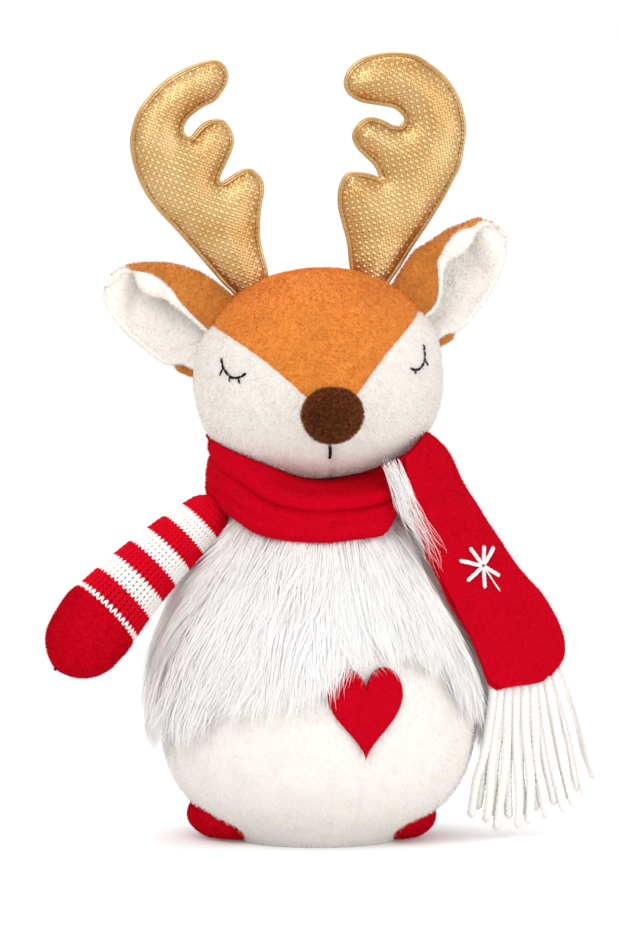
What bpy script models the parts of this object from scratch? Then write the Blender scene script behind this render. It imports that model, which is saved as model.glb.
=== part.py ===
"""A standing plush deer, about 40 cm tall, as the sewn pieces that it is made of.

The deer faces -Y and stands on the floor at z = 0 with +Z up. Its left and right are its own, so its
right arm is at -X. Sizes are in millimetres and become metres where a mesh is made. The body is sewn
on a little turned and the head a little tilted, as on the toy, so each has its own frame.
"""

import math

import bmesh
import bpy
import numpy as np
from mathutils import Matrix, Vector
from mathutils.geometry import delaunay_2d_cdt

MM = 0.001

# Fabric
SEAM = 0.6  # the gap along a seam
GAP = 0.35  # the gap between pieces that touch
FACET = 0.55  # how far a facet may cut inside the round surface it stands for
PLUSH = 1.0  # thickness of the short-pile plush
FLEECE = 1.4
KNIT = 1.6

# Body, in its own frame: radius and height of the outer surface of the plush
BODY_TURN = math.radians(12.0)  # from the face round to the front seam of the body
BODY_PROFILE = [
    (42.0, 0.0),
    (50.5, 3.5),
    (60.0, 12.0),
    (68.5, 22.0),
    (75.5, 34.5),
    (79.0, 50.0),
    (80.0, 66.0),
    (78.8, 84.0),
    (74.8, 104.0),
    (67.5, 124.0),
    (58.0, 143.0),
    (49.0, 157.0),
    (42.0, 169.0),
    (38.0, 181.0),
    (36.5, 187.0),
]
BASE_R = 41.0
PANEL_STEPS = 8  # facets across a quarter of the body
PELLET_R = 60.0  # the bag of beads that weights the toy
PELLET_Z = 22.0
PELLET_TOP = 44.0

# The long-pile yoke: its outer surface lies this far outside the plush at the top and at the hem
FUR_TOP_Z = 163.0
FUR_TOP_PILE = 2.6
FUR_HEM_PILE = 10.0
FUR_HEM = [  # angle from the front seam, height of the hem
    (-180.0, 52.0),
    (-120.0, 44.0),
    (-80.0, 44.0),
    (-50.0, 68.0),
    (-20.0, 82.0),
    (-6.0, 97.0),
    (14.0, 98.0),
    (30.0, 84.0),
    (60.0, 52.0),
    (90.0, 42.0),
    (135.0, 48.0),
    (180.0, 52.0),
]
FUR_STEPS = 30

# Heart of felt on the front seam
HEART_AT = (-1.0, 68.0)  # degrees from the seam, height
HEART_W = 39.0
HEART_H = 46.0
FELT = 1.5

# Feet
FOOT_AT = (41.0, -8.0, 11.5)
FOOT_R = (28.0, 36.0, 14.5)

# Arms: radius along the axis, from the shoulder pivot to the tip
PIVOT = (62.0, 0.0, 152.0)
ARM_SLOPE = {"right": 43.5, "left": 52.0}  # degrees below level
ROOT_R = 13.2
POCKET_R = 15.1
YOKE_HOLE_R = 21.4  # the yoke's armhole, wide enough for the arm to swing in
ARM_CLEAR = 2.3  # from the arm to the body beside it
ARM_PROFILE = [(0.0, 13.2), (10.0, 14.2), (20.0, 14.8), (36.0, 16.0), (48.0, 17.6), (56.5, 18.6)]
SLEEVE_END = 56.2
MITTEN_PROFILE = [(56.7, 18.6), (66.0, 19.2), (76.0, 18.6), (84.5, 15.8), (91.0, 10.6), (94.6, 4.6)]
MITTEN_TIP = 95.5
ARM_SIDES = 16
SLEEVE_STOPS = [-10.5, -5.0, 0.0, 7.0, 14.0, 21.0, 29.0, 38.0, 47.0, SLEEVE_END]
MITTEN_STOPS = [56.7, 64.0, 72.0, 79.0, 85.0, 90.0, 93.6]
ARM_FILL_STOPS = [-8.6, -4.0, 0.0, 7.0, 14.0, 21.0, 29.0, 38.0, 47.0, 56.0, 66.0, 76.0, 83.0, 87.5]
ARM_FILL_EASE = 0.35

# Head, in its own frame about its centre
HEAD_AT = (0.0, 0.0, 235.0)
HEAD_TILT = math.radians(-3.6)  # its crown leans to the deer's right
HEAD_W = 62.5
HEAD_FRONT = 58.0
HEAD_BACK = 57.0
HEAD_H = 51.0
MUZZLE = 13.5  # how far the muzzle stands out
MUZZLE_AT = -15.0
MUZZLE_SPREAD = (25.0, 21.0)
BLAZE_LOW = (13.0, -4.0)  # where the edge of the orange forehead starts beside the nose: x, z
BLAZE_HIGH = (52.5, 27.5)  # and where it meets the ear
SIDE_SEAM_Y = 5.0
NECK_Z = -43.5
NOSE_AT = (-0.4, -72.0, -15.0)
NOSE_R = (14.6, 10.5, 12.8)
NOSE_NARROWS = 0.14  # share by which the nose is narrower at its bottom
THREAD_R = 0.7
LIDS = {  # the line of each closed lid: x, z
    "right": [(-47.3, 9.7), (-46.6, 4.6), (-43.9, 0.3), (-40.9, -0.9), (-37.4, -0.2), (-35.2, 2.0)],
    "left": [(45.8, -1.4), (47.4, -3.2), (49.8, -3.7), (51.8, -2.2), (53.2, 1.6), (53.6, 6.0)],
}
LASHES = {  # from the lid's line down
    "right": [[(-46.6, 4.6), (-49.2, 0.2)], [(-43.9, 0.3), (-44.2, -3.6)], [(-40.9, -0.9), (-40.4, -4.8)]],
    "left": [[(51.8, -2.2), (54.4, -4.6)], [(49.8, -3.7), (49.4, -6.6)], [(47.4, -3.2), (46.0, -5.4)]],
}
MOUTH_X = -2.2
MOUTH_ZS = (-29.4, -31.8, -34.2, -36.6)

# Ears: a leaf on the head's edge, from the base to the tip
EAR_BASE = (54.8, 4.0, 24.6)
EAR_LEAN = 56.0  # degrees of the base's line above level, along the head's edge
EAR_RISE = {"right": 23.0, "left": 43.0}  # degrees of the ear's own line above level
EAR_L = 55.0
EAR_HALF_W = 20.5
EAR_HUG = 3.4  # how far the ends of the base reach round the head
EAR_TIP = 6.5
EAR_CUP = 6.5
EAR_PLUSH = 1.8
EAR_GAP = 2.2

# Antlers: the outline of the one on the left, in the head's frame
ANTLER_OUTLINE = [
    (20.6, 50.5),
    (21.4, 66.0),
    (19.4, 82.5),
    (18.4, 92.5),
    (22.2, 100.6),
    (28.8, 102.3),
    (35.0, 98.9),
    (39.0, 98.9),
    (37.6, 104.4),
    (32.0, 110.8),
    (29.4, 118.6),
    (32.0, 125.2),
    (38.0, 128.4),
    (45.0, 126.6),
    (50.2, 122.9),
    (54.2, 123.6),
    (53.6, 128.6),
    (47.0, 133.6),
    (37.0, 136.6),
    (30.6, 141.6),
    (28.8, 148.6),
    (32.6, 155.8),
    (41.0, 159.0),
    (52.5, 158.2),
    (65.0, 152.6),
    (75.8, 142.4),
    (82.6, 129.4),
    (84.2, 116.0),
    (81.0, 102.0),
    (74.6, 89.6),
    (65.6, 77.0),
    (55.0, 63.4),
    (46.4, 51.0),
    (41.4, 43.6),
    (31.0, 48.4),
]
ANTLER_Y = 6.0
ANTLER_PUFF = 7.6
ANTLER_SKIN = 0.9
FLANGE = 2.4
MESH_PITCH = 7.5

# Scarf
WRAP_TOP = [(0.0, 189.0), (60.0, 197.0), (110.0, 200.0), (180.0, 200.0)]  # angle from the face, height
WRAP_LOW = [
    (0.0, 155.0),
    (35.0, 158.0),
    (65.0, 166.5),
    (112.0, 168.0),
    (140.0, 165.0),
    (180.0, 164.0),
]
WRAP_OUT = [(150.0, 64.5), (158.0, 61.5), (168.0, 57.5), (178.0, 55.5), (190.0, 54.5), (204.0, 52.5)]
WRAP_THICK = 10.0
WRAP_ROUND = 3.2  # how far its edges round off
WRAP_CREASE = 1.1
WRAP_STEPS = 36
TAIL_STATIONS = [  # centre, line across the cloth, width
    ((54.0, -27.0, 196.5), (0.45, 0.87, 0.16), 36.0),
    ((59.0, -28.0, 183.0), (0.55, 0.80, 0.20), 41.0),
    ((64.5, -27.0, 167.0), (0.70, 0.66, 0.28), 42.0),
    ((74.0, -20.0, 144.0), (0.83, 0.36, 0.38), 42.0),
    ((89.5, -14.0, 119.5), (0.89, 0.10, 0.44), 43.0),
    ((100.0, -10.0, 98.5), (0.91, 0.02, 0.41), 43.0),
    ((104.5, -9.0, 83.0), (0.93, 0.0, 0.36), 42.0),
    ((106.3, -8.6, 77.5), (0.94, 0.0, 0.34), 37.0),
]
TAIL_THICK = 7.0
TAIL_HEM = 2.8  # thickness where its two layers are sewn together at the end
HEM_RUN = 5  # rings over which it thins
TAIL_FOLD = 1.3  # height of its soft lengthwise folds
TAIL_SIDES = 14
SNOWFLAKE_AT = 0.66  # share of the way down the tail
SNOWFLAKE_R = 10.0
FRINGE_ROW = 11
FRINGE_R = 1.75
FRINGE_LENGTH = 64.0
FRINGE_SPREAD = 13.0  # how far the ends fan out on each side
KNOT_R = (1.6, 2.6)  # half the height and half the depth of the row of knots
KNOT_DROP = 3.4  # from the cloth's end down to the middle of the knots

SIDES = {"right": -1.0, "left": 1.0}
WORLD = Matrix.Identity(4)
BODY = Matrix.Rotation(BODY_TURN, 4, "Z")
HEAD = Matrix.Translation(Vector(HEAD_AT)) @ Matrix.Rotation(HEAD_TILT, 4, "Y")


def clear_scene():
    for obj in list(bpy.data.objects):
        bpy.data.objects.remove(obj, do_unlink=True)


def new_collection(name):
    collection = bpy.data.collections.new(name)
    bpy.context.scene.collection.children.link(collection)
    return collection


def material(name, colour, roughness=0.9, metallic=0.0):
    made = bpy.data.materials.new(name)
    made.use_nodes = True
    shader = made.node_tree.nodes["Principled BSDF"]
    shader.inputs["Base Color"].default_value = (*colour, 1.0)
    shader.inputs["Roughness"].default_value = roughness
    shader.inputs["Metallic"].default_value = metallic
    made.diffuse_color = (*colour, 1.0)
    return made


# Curves and surfaces that follow a rule


def smooth_line(points, per_span=4, closed=False):
    """A Catmull-Rom curve through the points."""
    control = np.array(points, float)
    count = len(control)
    found = []
    for i in range(count if closed else count - 1):
        if closed:
            a, b, c, d = (control[(i + k) % count] for k in (-1, 0, 1, 2))
        else:
            a, b, c, d = (control[min(max(i + k, 0), count - 1)] for k in (-1, 0, 1, 2))
        for t in np.arange(per_span) / per_span:
            bend = (2 * a - 5 * b + 4 * c - d) * t**2
            twist = (3 * b - a - 3 * c + d) * t**3
            found.append(0.5 * (2 * b + (c - a) * t + bend + twist))
    if not closed:
        found.append(control[-1])
    return np.array(found)


def along(table, x):
    """The value of a two-column table at x, on a smooth line."""
    line = smooth_line(table, 8)
    return float(np.interp(x, line[:, 0], line[:, 1]))


BODY_LINE = smooth_line(BODY_PROFILE, 8)


def body_radius(z):
    return float(np.interp(z, BODY_LINE[:, 1], BODY_LINE[:, 0]))


def fur_hem(angle):
    """Height of the yoke's hem at an angle in radians from the body's front seam."""
    degrees = (math.degrees(angle) + 180.0) % 360.0 - 180.0
    return along(FUR_HEM, degrees)


def fur_pile(z, hem):
    """How far the yoke's outer surface stands outside the plush at a height."""
    down = min(max((FUR_TOP_Z - z) / (FUR_TOP_Z - hem), 0.0), 1.0)
    return FUR_TOP_PILE + (FUR_HEM_PILE - FUR_TOP_PILE) * down**1.6


def cover_radius(x, y, z):
    """Radius of what covers the body at a point in the body's frame, yoke and all."""
    hem = fur_hem(math.atan2(x, -y))
    radius = body_radius(min(max(z, 0.0), BODY_PROFILE[-1][1]))
    if hem <= z <= FUR_TOP_Z:
        radius += fur_pile(z, hem)
    return radius


def head_point(direction, offset=0.0):
    """The point of the head's surface in a direction, in the head's frame."""
    tilt = math.asin(max(-1.0, min(1.0, direction[2])))
    turn = math.atan2(direction[0], -direction[1])
    z = math.sin(tilt)
    power = 2.0 if z > 0 else 2.8
    level = math.sqrt(max(0.0, 1.0 - abs(z) ** power)) if abs(z) < 1.0 else 0.0
    depth = HEAD_FRONT if math.cos(turn) > 0 else HEAD_BACK
    x = (HEAD_W + offset) * level * math.sin(turn)
    y = -(depth + offset) * level * math.cos(turn)
    z *= HEAD_H + offset
    front = max(0.0, math.cos(turn)) * level
    spread = (x / MUZZLE_SPREAD[0]) ** 2 + ((z - MUZZLE_AT) / MUZZLE_SPREAD[1]) ** 2
    y -= MUZZLE * math.exp(-spread) * front
    return Vector((x, y, z))


def head_front(x, z, offset=0.0):
    """The front point of the head's surface at x and z."""
    low, high = 0.0, math.pi / 2
    tilt = math.asin(max(-1.0, min(1.0, z / (HEAD_H + offset))))
    for _ in range(40):
        turn = 0.5 * (low + high)
        level = math.cos(tilt)
        at = head_point((level * math.sin(turn), -level * math.cos(turn), math.sin(tilt)), offset)
        if at.x < abs(x):
            low = turn
        else:
            high = turn
    return Vector((x, at.y, z))


def head_radius(angle, z):
    """Distance of the head's surface from the deer's upright axis at a height and an angle from the face."""
    local = z - HEAD_AT[2]
    if abs(local) >= HEAD_H:
        return 0.0
    tilt = math.asin(local / HEAD_H)
    at = head_point((math.cos(tilt) * math.sin(angle), -math.cos(tilt) * math.cos(angle), math.sin(tilt)))
    return math.hypot(at.x, at.y)


# Mesh makers


def add_mesh(name, points, faces, surface, frame=WORLD, collection=None):
    """An object from points in millimetres, whose origin stays at its frame's origin."""
    mesh = bpy.data.meshes.new(name)
    mesh.from_pydata([Vector(p) * MM for p in points], [], faces)
    mesh.validate()
    mesh.shade_smooth()
    mesh.set_sharp_from_angle(angle=math.radians(50))
    if surface:
        mesh.materials.append(surface)
    obj = bpy.data.objects.new(name, mesh)
    placed = frame.copy()
    placed.translation = placed.translation * MM
    obj.matrix_world = placed
    (collection or PARTS).objects.link(obj)
    return obj


def from_bmesh(name, bm, surface, frame=WORLD, collection=None):
    points = [v.co.copy() for v in bm.verts]
    bm.verts.index_update()
    faces = [[v.index for v in f.verts] for f in bm.faces]
    bm.free()
    return add_mesh(name, points, faces, surface, frame, collection)


def skin(rings, capped=True, ring_closed=True):
    """Points and faces of a loft through rings of points, each ring going round the same way."""
    count = len(rings[0])
    points = [p for ring in rings for p in ring]
    faces = []
    for r in range(len(rings) - 1):
        for i in range(count if ring_closed else count - 1):
            j = (i + 1) % count
            faces.append([r * count + i, r * count + j, (r + 1) * count + j, (r + 1) * count + i])
    if capped:
        faces.append(list(range(count))[::-1])
        faces.append([(len(rings) - 1) * count + i for i in range(count)])
    return points, faces


def hoop(rings):
    """Points and faces of a loft whose last ring joins its first."""
    points, faces = skin(rings + [rings[0]], capped=False)
    last = len(rings) * len(rings[0])
    return points[:last], [[i - last if i >= last else i for i in face] for face in faces]


def outward(obj):
    """Turns the faces of a closed mesh outwards."""
    bm = bmesh.new()
    bm.from_mesh(obj.data)
    bmesh.ops.recalc_face_normals(bm, faces=bm.faces)
    bm.to_mesh(obj.data)
    bm.free()
    return obj


def turn_faces(obj, way_at):
    """Turns an open sheet's faces to look the way that a rule gives for each place."""
    bm = bmesh.new()
    bm.from_mesh(obj.data)
    bmesh.ops.recalc_face_normals(bm, faces=bm.faces)
    lean = sum(f.normal.dot(way_at(f.calc_center_median() / MM)) * f.calc_area() for f in bm.faces)
    if lean < 0:
        bmesh.ops.reverse_faces(bm, faces=bm.faces)
    bm.to_mesh(obj.data)
    bm.free()


def solidify(obj, thickness, offset=-1.0):
    made = obj.modifiers.new("Cloth", "SOLIDIFY")
    made.thickness = thickness * MM
    made.offset = offset
    made.use_even_offset = True
    made.use_rim = True
    return obj


def cut(obj, cutter):
    made = obj.modifiers.new("Cut", "BOOLEAN")
    made.operation = "DIFFERENCE"
    made.solver = "EXACT"
    made.object = cutter
    return obj


def hide_cutter(obj):
    obj.hide_render = True
    obj.display_type = "WIRE"
    return obj


def ball(name, at, radius, frame=WORLD, surface=None, collection=None, segments=28, rings=16):
    bm = bmesh.new()
    bmesh.ops.create_uvsphere(bm, u_segments=segments, v_segments=rings, radius=1.0)
    for v in bm.verts:
        v.co = Vector(at) + Vector((v.co.x * radius[0], v.co.y * radius[1], v.co.z * radius[2]))
    return from_bmesh(name, bm, surface, frame, collection)


def tube(path, radius, sides=6):
    """Rings of a round tube along a line of points."""
    rings = []
    for i, at in enumerate(path):
        ahead = (path[min(i + 1, len(path) - 1)] - path[max(i - 1, 0)]).normalized()
        across = ahead.cross(Vector((0.0, 1.0, 0.0)))
        if across.length < 0.2:
            across = ahead.cross(Vector((1.0, 0.0, 0.0)))
        across.normalize()
        up = ahead.cross(across)
        turn = [2 * math.pi * k / sides for k in range(sides)]
        rings.append([at + (across * math.cos(t) + up * math.sin(t)) * radius for t in turn])
    return rings


def fused(name, tubes, surface, frame=WORLD, base=None):
    """Tubes, and a base if there is one, joined into one body."""
    group = bpy.data.collections.new(name + "_strands")
    CUTTERS.children.link(group)
    made = []
    for i, rings in enumerate(tubes):
        strand = outward(add_mesh(f"{name}_strand_{i:02d}", *skin(rings), None, frame, group))
        made.append(hide_cutter(strand))
    if base is None:
        base = outward(add_mesh(name, *skin(tubes[0]), surface, frame))
        group.objects.unlink(made[0])
        bpy.data.objects.remove(made[0], do_unlink=True)
    join = base.modifiers.new("Join", "BOOLEAN")
    join.operation = "UNION"
    join.solver = "EXACT"
    join.operand_type = "COLLECTION"
    join.collection = group
    join.use_self = True
    return base


# Body


def line_object(name, line, surface, turn):
    """A line of radii and heights, ready to be spun about the upright axis."""
    edges = [(i, i + 1) for i in range(len(line) - 1)]
    mesh = bpy.data.meshes.new(name)
    mesh.from_pydata([(r * MM, 0.0, z * MM) for r, z in line], edges, [])
    if surface:
        mesh.materials.append(surface)
    obj = bpy.data.objects.new(name, mesh)
    obj.rotation_euler.z = turn
    PARTS.objects.link(obj)
    return obj


def quarter_panel(name, start, surface):
    """One gore of the body: a quarter of the turned shape, with a seam's gap on each side."""
    inset = SEAM / 2 / BODY_PROFILE[4][0]
    obj = line_object(name, BODY_PROFILE[::-1], surface, BODY_TURN + start + inset)
    spin = obj.modifiers.new("Turn", "SCREW")
    spin.axis = "Z"
    spin.angle = math.pi / 2 - 2 * inset
    spin.steps = PANEL_STEPS
    spin.render_steps = PANEL_STEPS
    spin.use_smooth_shade = True
    return solidify(obj, PLUSH)


def turned_solid(name, line, surface, steps=24):
    """A closed solid of revolution in the body's frame from a line that starts and ends on the axis."""
    obj = line_object(name, line, surface, BODY_TURN)
    spin = obj.modifiers.new("Turn", "SCREW")
    spin.axis = "Z"
    spin.steps = steps
    spin.render_steps = steps
    spin.use_merge_vertices = True
    spin.merge_threshold = 0.00005
    spin.use_smooth_shade = True
    return obj


def bag_dome(radius, top):
    """The upper line of the bag of beads, from its middle out to its rim."""
    turns = [math.radians(90.0 - step * 15.0) for step in range(7)]
    return [(radius * math.cos(t), PELLET_Z + (top - PELLET_Z) * math.sin(t)) for t in turns]


def make_body():
    names = ["body_front_left", "body_back_left", "body_back_right", "body_front_right"]
    panels = []
    for i, name in enumerate(names):
        panels.append(quarter_panel(name, -math.pi / 2 + i * math.pi / 2, WHITE_PLUSH))
    base = [(0.0, PLUSH), (BASE_R, PLUSH), (BASE_R, 0.0), (0.0, 0.0)]
    turned_solid("base_panel", base, WHITE_PLUSH, 32)

    inside = PLUSH + GAP + FACET
    low = PLUSH + GAP
    pellet = bag_dome(PELLET_R, PELLET_TOP)
    pellet += [(body_radius(z) - inside - 2.0, z) for z in (18.0, 12.0, 7.0)]
    pellet += [(BASE_R - 1.0, low + 1.5), (0.0, low + 1.5)]
    turned_solid("pellet_bag", pellet, CALICO, 20)

    top = BODY_PROFILE[-1][1] - 1.0
    outer = [(body_radius(z) - inside, z) for z in np.linspace(top, PELLET_Z + 2.0, 11)]
    hollow = bag_dome(PELLET_R + 1.6, PELLET_TOP + 1.6)[::-1]
    turned_solid("body_stuffing", [(0.0, top)] + outer + hollow, FILL, 20)
    stuffing = bpy.data.objects["body_stuffing"]

    for side in SIDES:
        pocket = armhole(side, POCKET_R)
        for obj in panels + [stuffing]:
            if obj is stuffing or side in obj.name:
                cut(obj, pocket)


def armhole(side, radius):
    at = (SIDES[side] * PIVOT[0], PIVOT[1], PIVOT[2])
    return hide_cutter(ball(f"{side}_armhole", at, (radius,) * 3, BODY, None, CUTTERS))


def make_yoke():
    """The ring of long-pile fabric, thickest at its hem, where the pile hangs free."""
    rings = []
    for step in range(FUR_STEPS):
        angle = 2 * math.pi * step / FUR_STEPS
        hem = fur_hem(angle)
        ring = []
        for share in np.linspace(0.0, 1.0, 8):
            z = FUR_TOP_Z + (hem + 4.0 - FUR_TOP_Z) * share
            ring.append((body_radius(z) + GAP + FACET + 0.2, z))
        for share in np.linspace(1.0, 0.0, 8):
            z = FUR_TOP_Z + (hem - FUR_TOP_Z) * share
            ring.append((body_radius(z) + fur_pile(z, hem), z))
        rings.append([(r * math.sin(angle), -r * math.cos(angle), z) for r, z in ring])
    yoke = outward(add_mesh("fur_yoke", *hoop(rings), LONG_PILE, BODY))
    for side in SIDES:
        cut(yoke, armhole(side, YOKE_HOLE_R))


def heart_outline(count=36):
    """A heart's outline about its middle, as wide and as tall as it is cut."""
    turns = np.linspace(0.0, 2 * math.pi, count, endpoint=False)
    x = np.sin(turns) ** 3
    z = 13 * np.cos(turns) - 5 * np.cos(2 * turns) - 2 * np.cos(3 * turns) - np.cos(4 * turns)
    x *= HEART_W / np.ptp(x)
    z = (z - (z.min() + z.max()) / 2) * HEART_H / np.ptp(z)
    return list(zip(x, z))


def filled_outline(outline, pitch):
    """Points and triangles that fill an outline, with a grid of points inside it."""
    edge = np.array(outline, float)
    low, high = edge.min(0), edge.max(0)
    inner = []
    for i, x in enumerate(np.arange(low[0] + pitch / 2, high[0], pitch)):
        for z in np.arange(low[1] + pitch / 2 + (i % 2) * pitch / 2, high[1], pitch):
            if inside_outline((x, z), edge) and edge_distance((x, z), edge) > pitch * 0.55:
                inner.append((x, z))
    coords = [Vector(p) for p in list(map(tuple, edge)) + inner]
    ring = [(i, (i + 1) % len(edge)) for i in range(len(edge))]
    flat, _, triangles, *_ = delaunay_2d_cdt(coords, ring, [], 1, 1e-6)
    return [(p.x, p.y) for p in flat], [list(t) for t in triangles]


def inside_outline(point, edge):
    x, z = point
    found = False
    for a, b in zip(edge, np.roll(edge, -1, axis=0)):
        if (a[1] > z) != (b[1] > z) and x < (b[0] - a[0]) * (z - a[1]) / (b[1] - a[1]) + a[0]:
            found = not found
    return found


def edge_distance(point, edge):
    nearest = 1e9
    for a, b in zip(edge, np.roll(edge, -1, axis=0)):
        run = b - a
        t = min(1.0, max(0.0, float(np.dot(np.array(point) - a, run) / np.dot(run, run))))
        nearest = min(nearest, float(np.linalg.norm(a + run * t - point)))
    return nearest


def make_heart():
    """Felt laid on the curve of the belly."""
    flat, triangles = filled_outline(heart_outline(), 6.0)
    points = []
    for u, v in flat:
        z = HEART_AT[1] + v
        radius = body_radius(z) + GAP + 0.25
        angle = math.radians(HEART_AT[0]) + u / radius
        points.append((radius * math.sin(angle), -radius * math.cos(angle), z))
    heart = add_mesh("heart_patch", points, triangles, RED_FELT, BODY)
    turn_faces(heart, lambda at: at - Vector((0.0, 0.0, HEART_AT[1])))
    solidify(heart, FELT, 1.0)


def make_feet():
    """Low stuffed pads under the sides of the body, flat on the floor."""
    line = [(body_radius(z + 0.8) + GAP + 0.6, z) for z in np.linspace(60.0, 0.0, 16)]
    body = [(0.0, 62.0)] + line + [(line[-1][0] - 6.0, -8.0), (0.0, -8.0)]
    cutter = turned_solid("body_room", body, None, 48)
    PARTS.objects.unlink(cutter)
    CUTTERS.objects.link(cutter)
    hide_cutter(cutter)
    bm = bmesh.new()
    bmesh.ops.create_cube(bm, size=1.0)
    for v in bm.verts:
        v.co = Vector((v.co.x * 300.0, v.co.y * 300.0, v.co.z * 40.0 - 20.0))
    floor = hide_cutter(from_bmesh("floor_room", bm, None, WORLD, CUTTERS))
    for side, sign in SIDES.items():
        at = (sign * FOOT_AT[0], FOOT_AT[1], FOOT_AT[2])
        foot = ball(f"{side}_foot", at, FOOT_R, WORLD, RED_PLUSH, None, 28, 14)
        cut(foot, cutter)
        cut(foot, floor)


# Arms


def arm_frame(side):
    """Axes of an arm in the body's frame: along it, out of the plane it is raised in, and its upper side."""
    sign = SIDES[side]
    slope = math.radians(ARM_SLOPE[side])
    ahead = Vector((sign * math.cos(slope), 0.0, -math.sin(slope)))
    across = Vector((0.0, 1.0, 0.0))
    return ahead, across, ahead.cross(across) * -sign


def arm_ring(side, s, radius, inset, sides=ARM_SIDES):
    """A ring of an arm, pressed flat where it would enter the body."""
    ahead, across, up = arm_frame(side)
    pivot = Vector((SIDES[side] * PIVOT[0], PIVOT[1], PIVOT[2]))
    ring = []
    for k in range(sides):
        turn = 2 * math.pi * k / sides
        at = pivot + ahead * s + (across * math.cos(turn) + up * math.sin(turn)) * (radius - inset)
        reach = math.hypot(at.x, at.y)
        wall = cover_radius(at.x, at.y, at.z) + ARM_CLEAR + inset
        if (at - pivot).length > ROOT_R - inset + 0.1 and reach < wall and s > -1.0:
            at.x *= wall / reach
            at.y *= wall / reach
        ring.append(at)
    return ring


def root_radius(s):
    return math.sqrt(max(ROOT_R**2 - s**2, 0.0))


def arm_radius(s):
    if s < 0:
        return root_radius(s)
    if s <= ARM_PROFILE[-1][0]:
        return along(ARM_PROFILE, s)
    return along(MITTEN_PROFILE + [(MITTEN_TIP, 0.0)], s)


def make_arm(side):
    pivot = Vector((SIDES[side] * PIVOT[0], PIVOT[1], PIVOT[2]))
    ahead = arm_frame(side)[0]

    def off_axis(at):
        return at - pivot - ahead * (at - pivot).dot(ahead)

    rings = [arm_ring(side, s, arm_radius(s), 0.0) for s in SLEEVE_STOPS]
    sleeve = add_mesh(f"{side}_sleeve", *skin(rings, capped=False), STRIPED_KNIT, BODY)
    turn_faces(sleeve, off_axis)
    solidify(sleeve, KNIT)

    rings = [arm_ring(side, s, arm_radius(s), 0.0) for s in MITTEN_STOPS]
    points, faces = skin(rings, capped=False)
    tip = len(points)
    points.append(pivot + ahead * MITTEN_TIP)
    base = tip - ARM_SIDES
    faces += [[base + i, base + (i + 1) % ARM_SIDES, tip] for i in range(ARM_SIDES)]
    mitten = add_mesh(f"{side}_mitten", points, faces, RED_FLEECE, BODY)
    turn_faces(mitten, off_axis)
    solidify(mitten, FLEECE)

    inset = KNIT + GAP + FACET + ARM_FILL_EASE
    rings = [arm_ring(side, s, arm_radius(s), inset, 12) for s in ARM_FILL_STOPS]
    outward(add_mesh(f"{side}_arm_stuffing", *skin(rings), FILL, BODY))


# Head


def head_shape(offset, segments=28, rings=14):
    """The head's closed surface, moved out by an offset."""
    bm = bmesh.new()
    bmesh.ops.create_uvsphere(bm, u_segments=segments, v_segments=rings, radius=1.0)
    for v in bm.verts:
        v.co = head_point(v.co.normalized(), offset)
    return bm


def keep_side(bm, at, normal, gap=SEAM / 2):
    """Cuts an open surface at a plane and keeps the side that the normal points to."""
    away = Vector(normal).normalized()
    geometry = bm.verts[:] + bm.edges[:] + bm.faces[:]
    bmesh.ops.bisect_plane(
        bm, geom=geometry, plane_co=Vector(at) + away * gap, plane_no=away, clear_inner=True, dist=0.01
    )


def blaze_normal(sign):
    """The way up from the edge between the white cheek and the orange forehead."""
    run = Vector((BLAZE_HIGH[0] - BLAZE_LOW[0], 0.0, BLAZE_HIGH[1] - BLAZE_LOW[1]))
    return Vector((-run.z * sign, 0.0, run.x)).normalized()


def make_head():
    for side, sign in SIDES.items():
        low = (BLAZE_LOW[0] * sign, 0.0, BLAZE_LOW[1])
        up = blaze_normal(sign)
        cheek = head_shape(0.0)
        keep_side(cheek, (0, 0, 0), (sign, 0, 0))
        keep_side(cheek, low, -up)
        keep_side(cheek, (0, SIDE_SEAM_Y, 0), (0, -1, 0))
        keep_side(cheek, (0, 0, NECK_Z), (0, 0, 1))
        solidify(from_bmesh(f"{side}_cheek", cheek, WHITE_PLUSH, HEAD), PLUSH)

        # The orange piece is the forehead over the blaze's edge and all of the head behind the side seam,
        # so the corner between the two planes is cut out of it.
        crown = head_shape(0.0)
        keep_side(crown, (0, 0, 0), (sign, 0, 0), SEAM / 2 + 0.1)
        keep_side(crown, (0, 0, NECK_Z), (0, 0, 1))
        split_at(crown, Vector(low), up)
        split_at(crown, Vector((0, SIDE_SEAM_Y, 0)), Vector((0, 1, 0)))
        half = SEAM / 2
        gone = []
        for f in crown.faces:
            at = f.calc_center_median()
            below = (at - Vector(low)).dot(up) < half
            before = at.y < SIDE_SEAM_Y + half
            if below and before:
                gone.append(f)
        bmesh.ops.delete(crown, geom=gone, context="FACES")
        solidify(from_bmesh(f"{side}_crown", crown, ORANGE_PLUSH, HEAD), PLUSH)

    fill = head_shape(-(PLUSH + GAP + FACET + 0.2), 24, 14)
    low = NECK_Z + 0.6
    bmesh.ops.bisect_plane(
        fill,
        geom=fill.verts[:] + fill.edges[:] + fill.faces[:],
        plane_co=(0, 0, low),
        plane_no=(0, 0, 1),
        clear_inner=True,
    )
    bmesh.ops.holes_fill(fill, edges=[e for e in fill.edges if e.is_boundary], sides=0)
    outward(from_bmesh("head_stuffing", fill, FILL, HEAD))

    room = hide_cutter(from_bmesh("head_room", head_shape(GAP + FACET), None, HEAD, CUTTERS))
    nose = ball("nose", NOSE_AT, NOSE_R, HEAD, BROWN_PLUSH, None, 18, 10)
    for v in nose.data.vertices:
        low_share = (NOSE_AT[2] - v.co.z / MM) / NOSE_R[2]
        v.co.x *= 1.0 - NOSE_NARROWS * max(low_share, 0.0)
    cut(nose, room)
    return room


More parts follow.
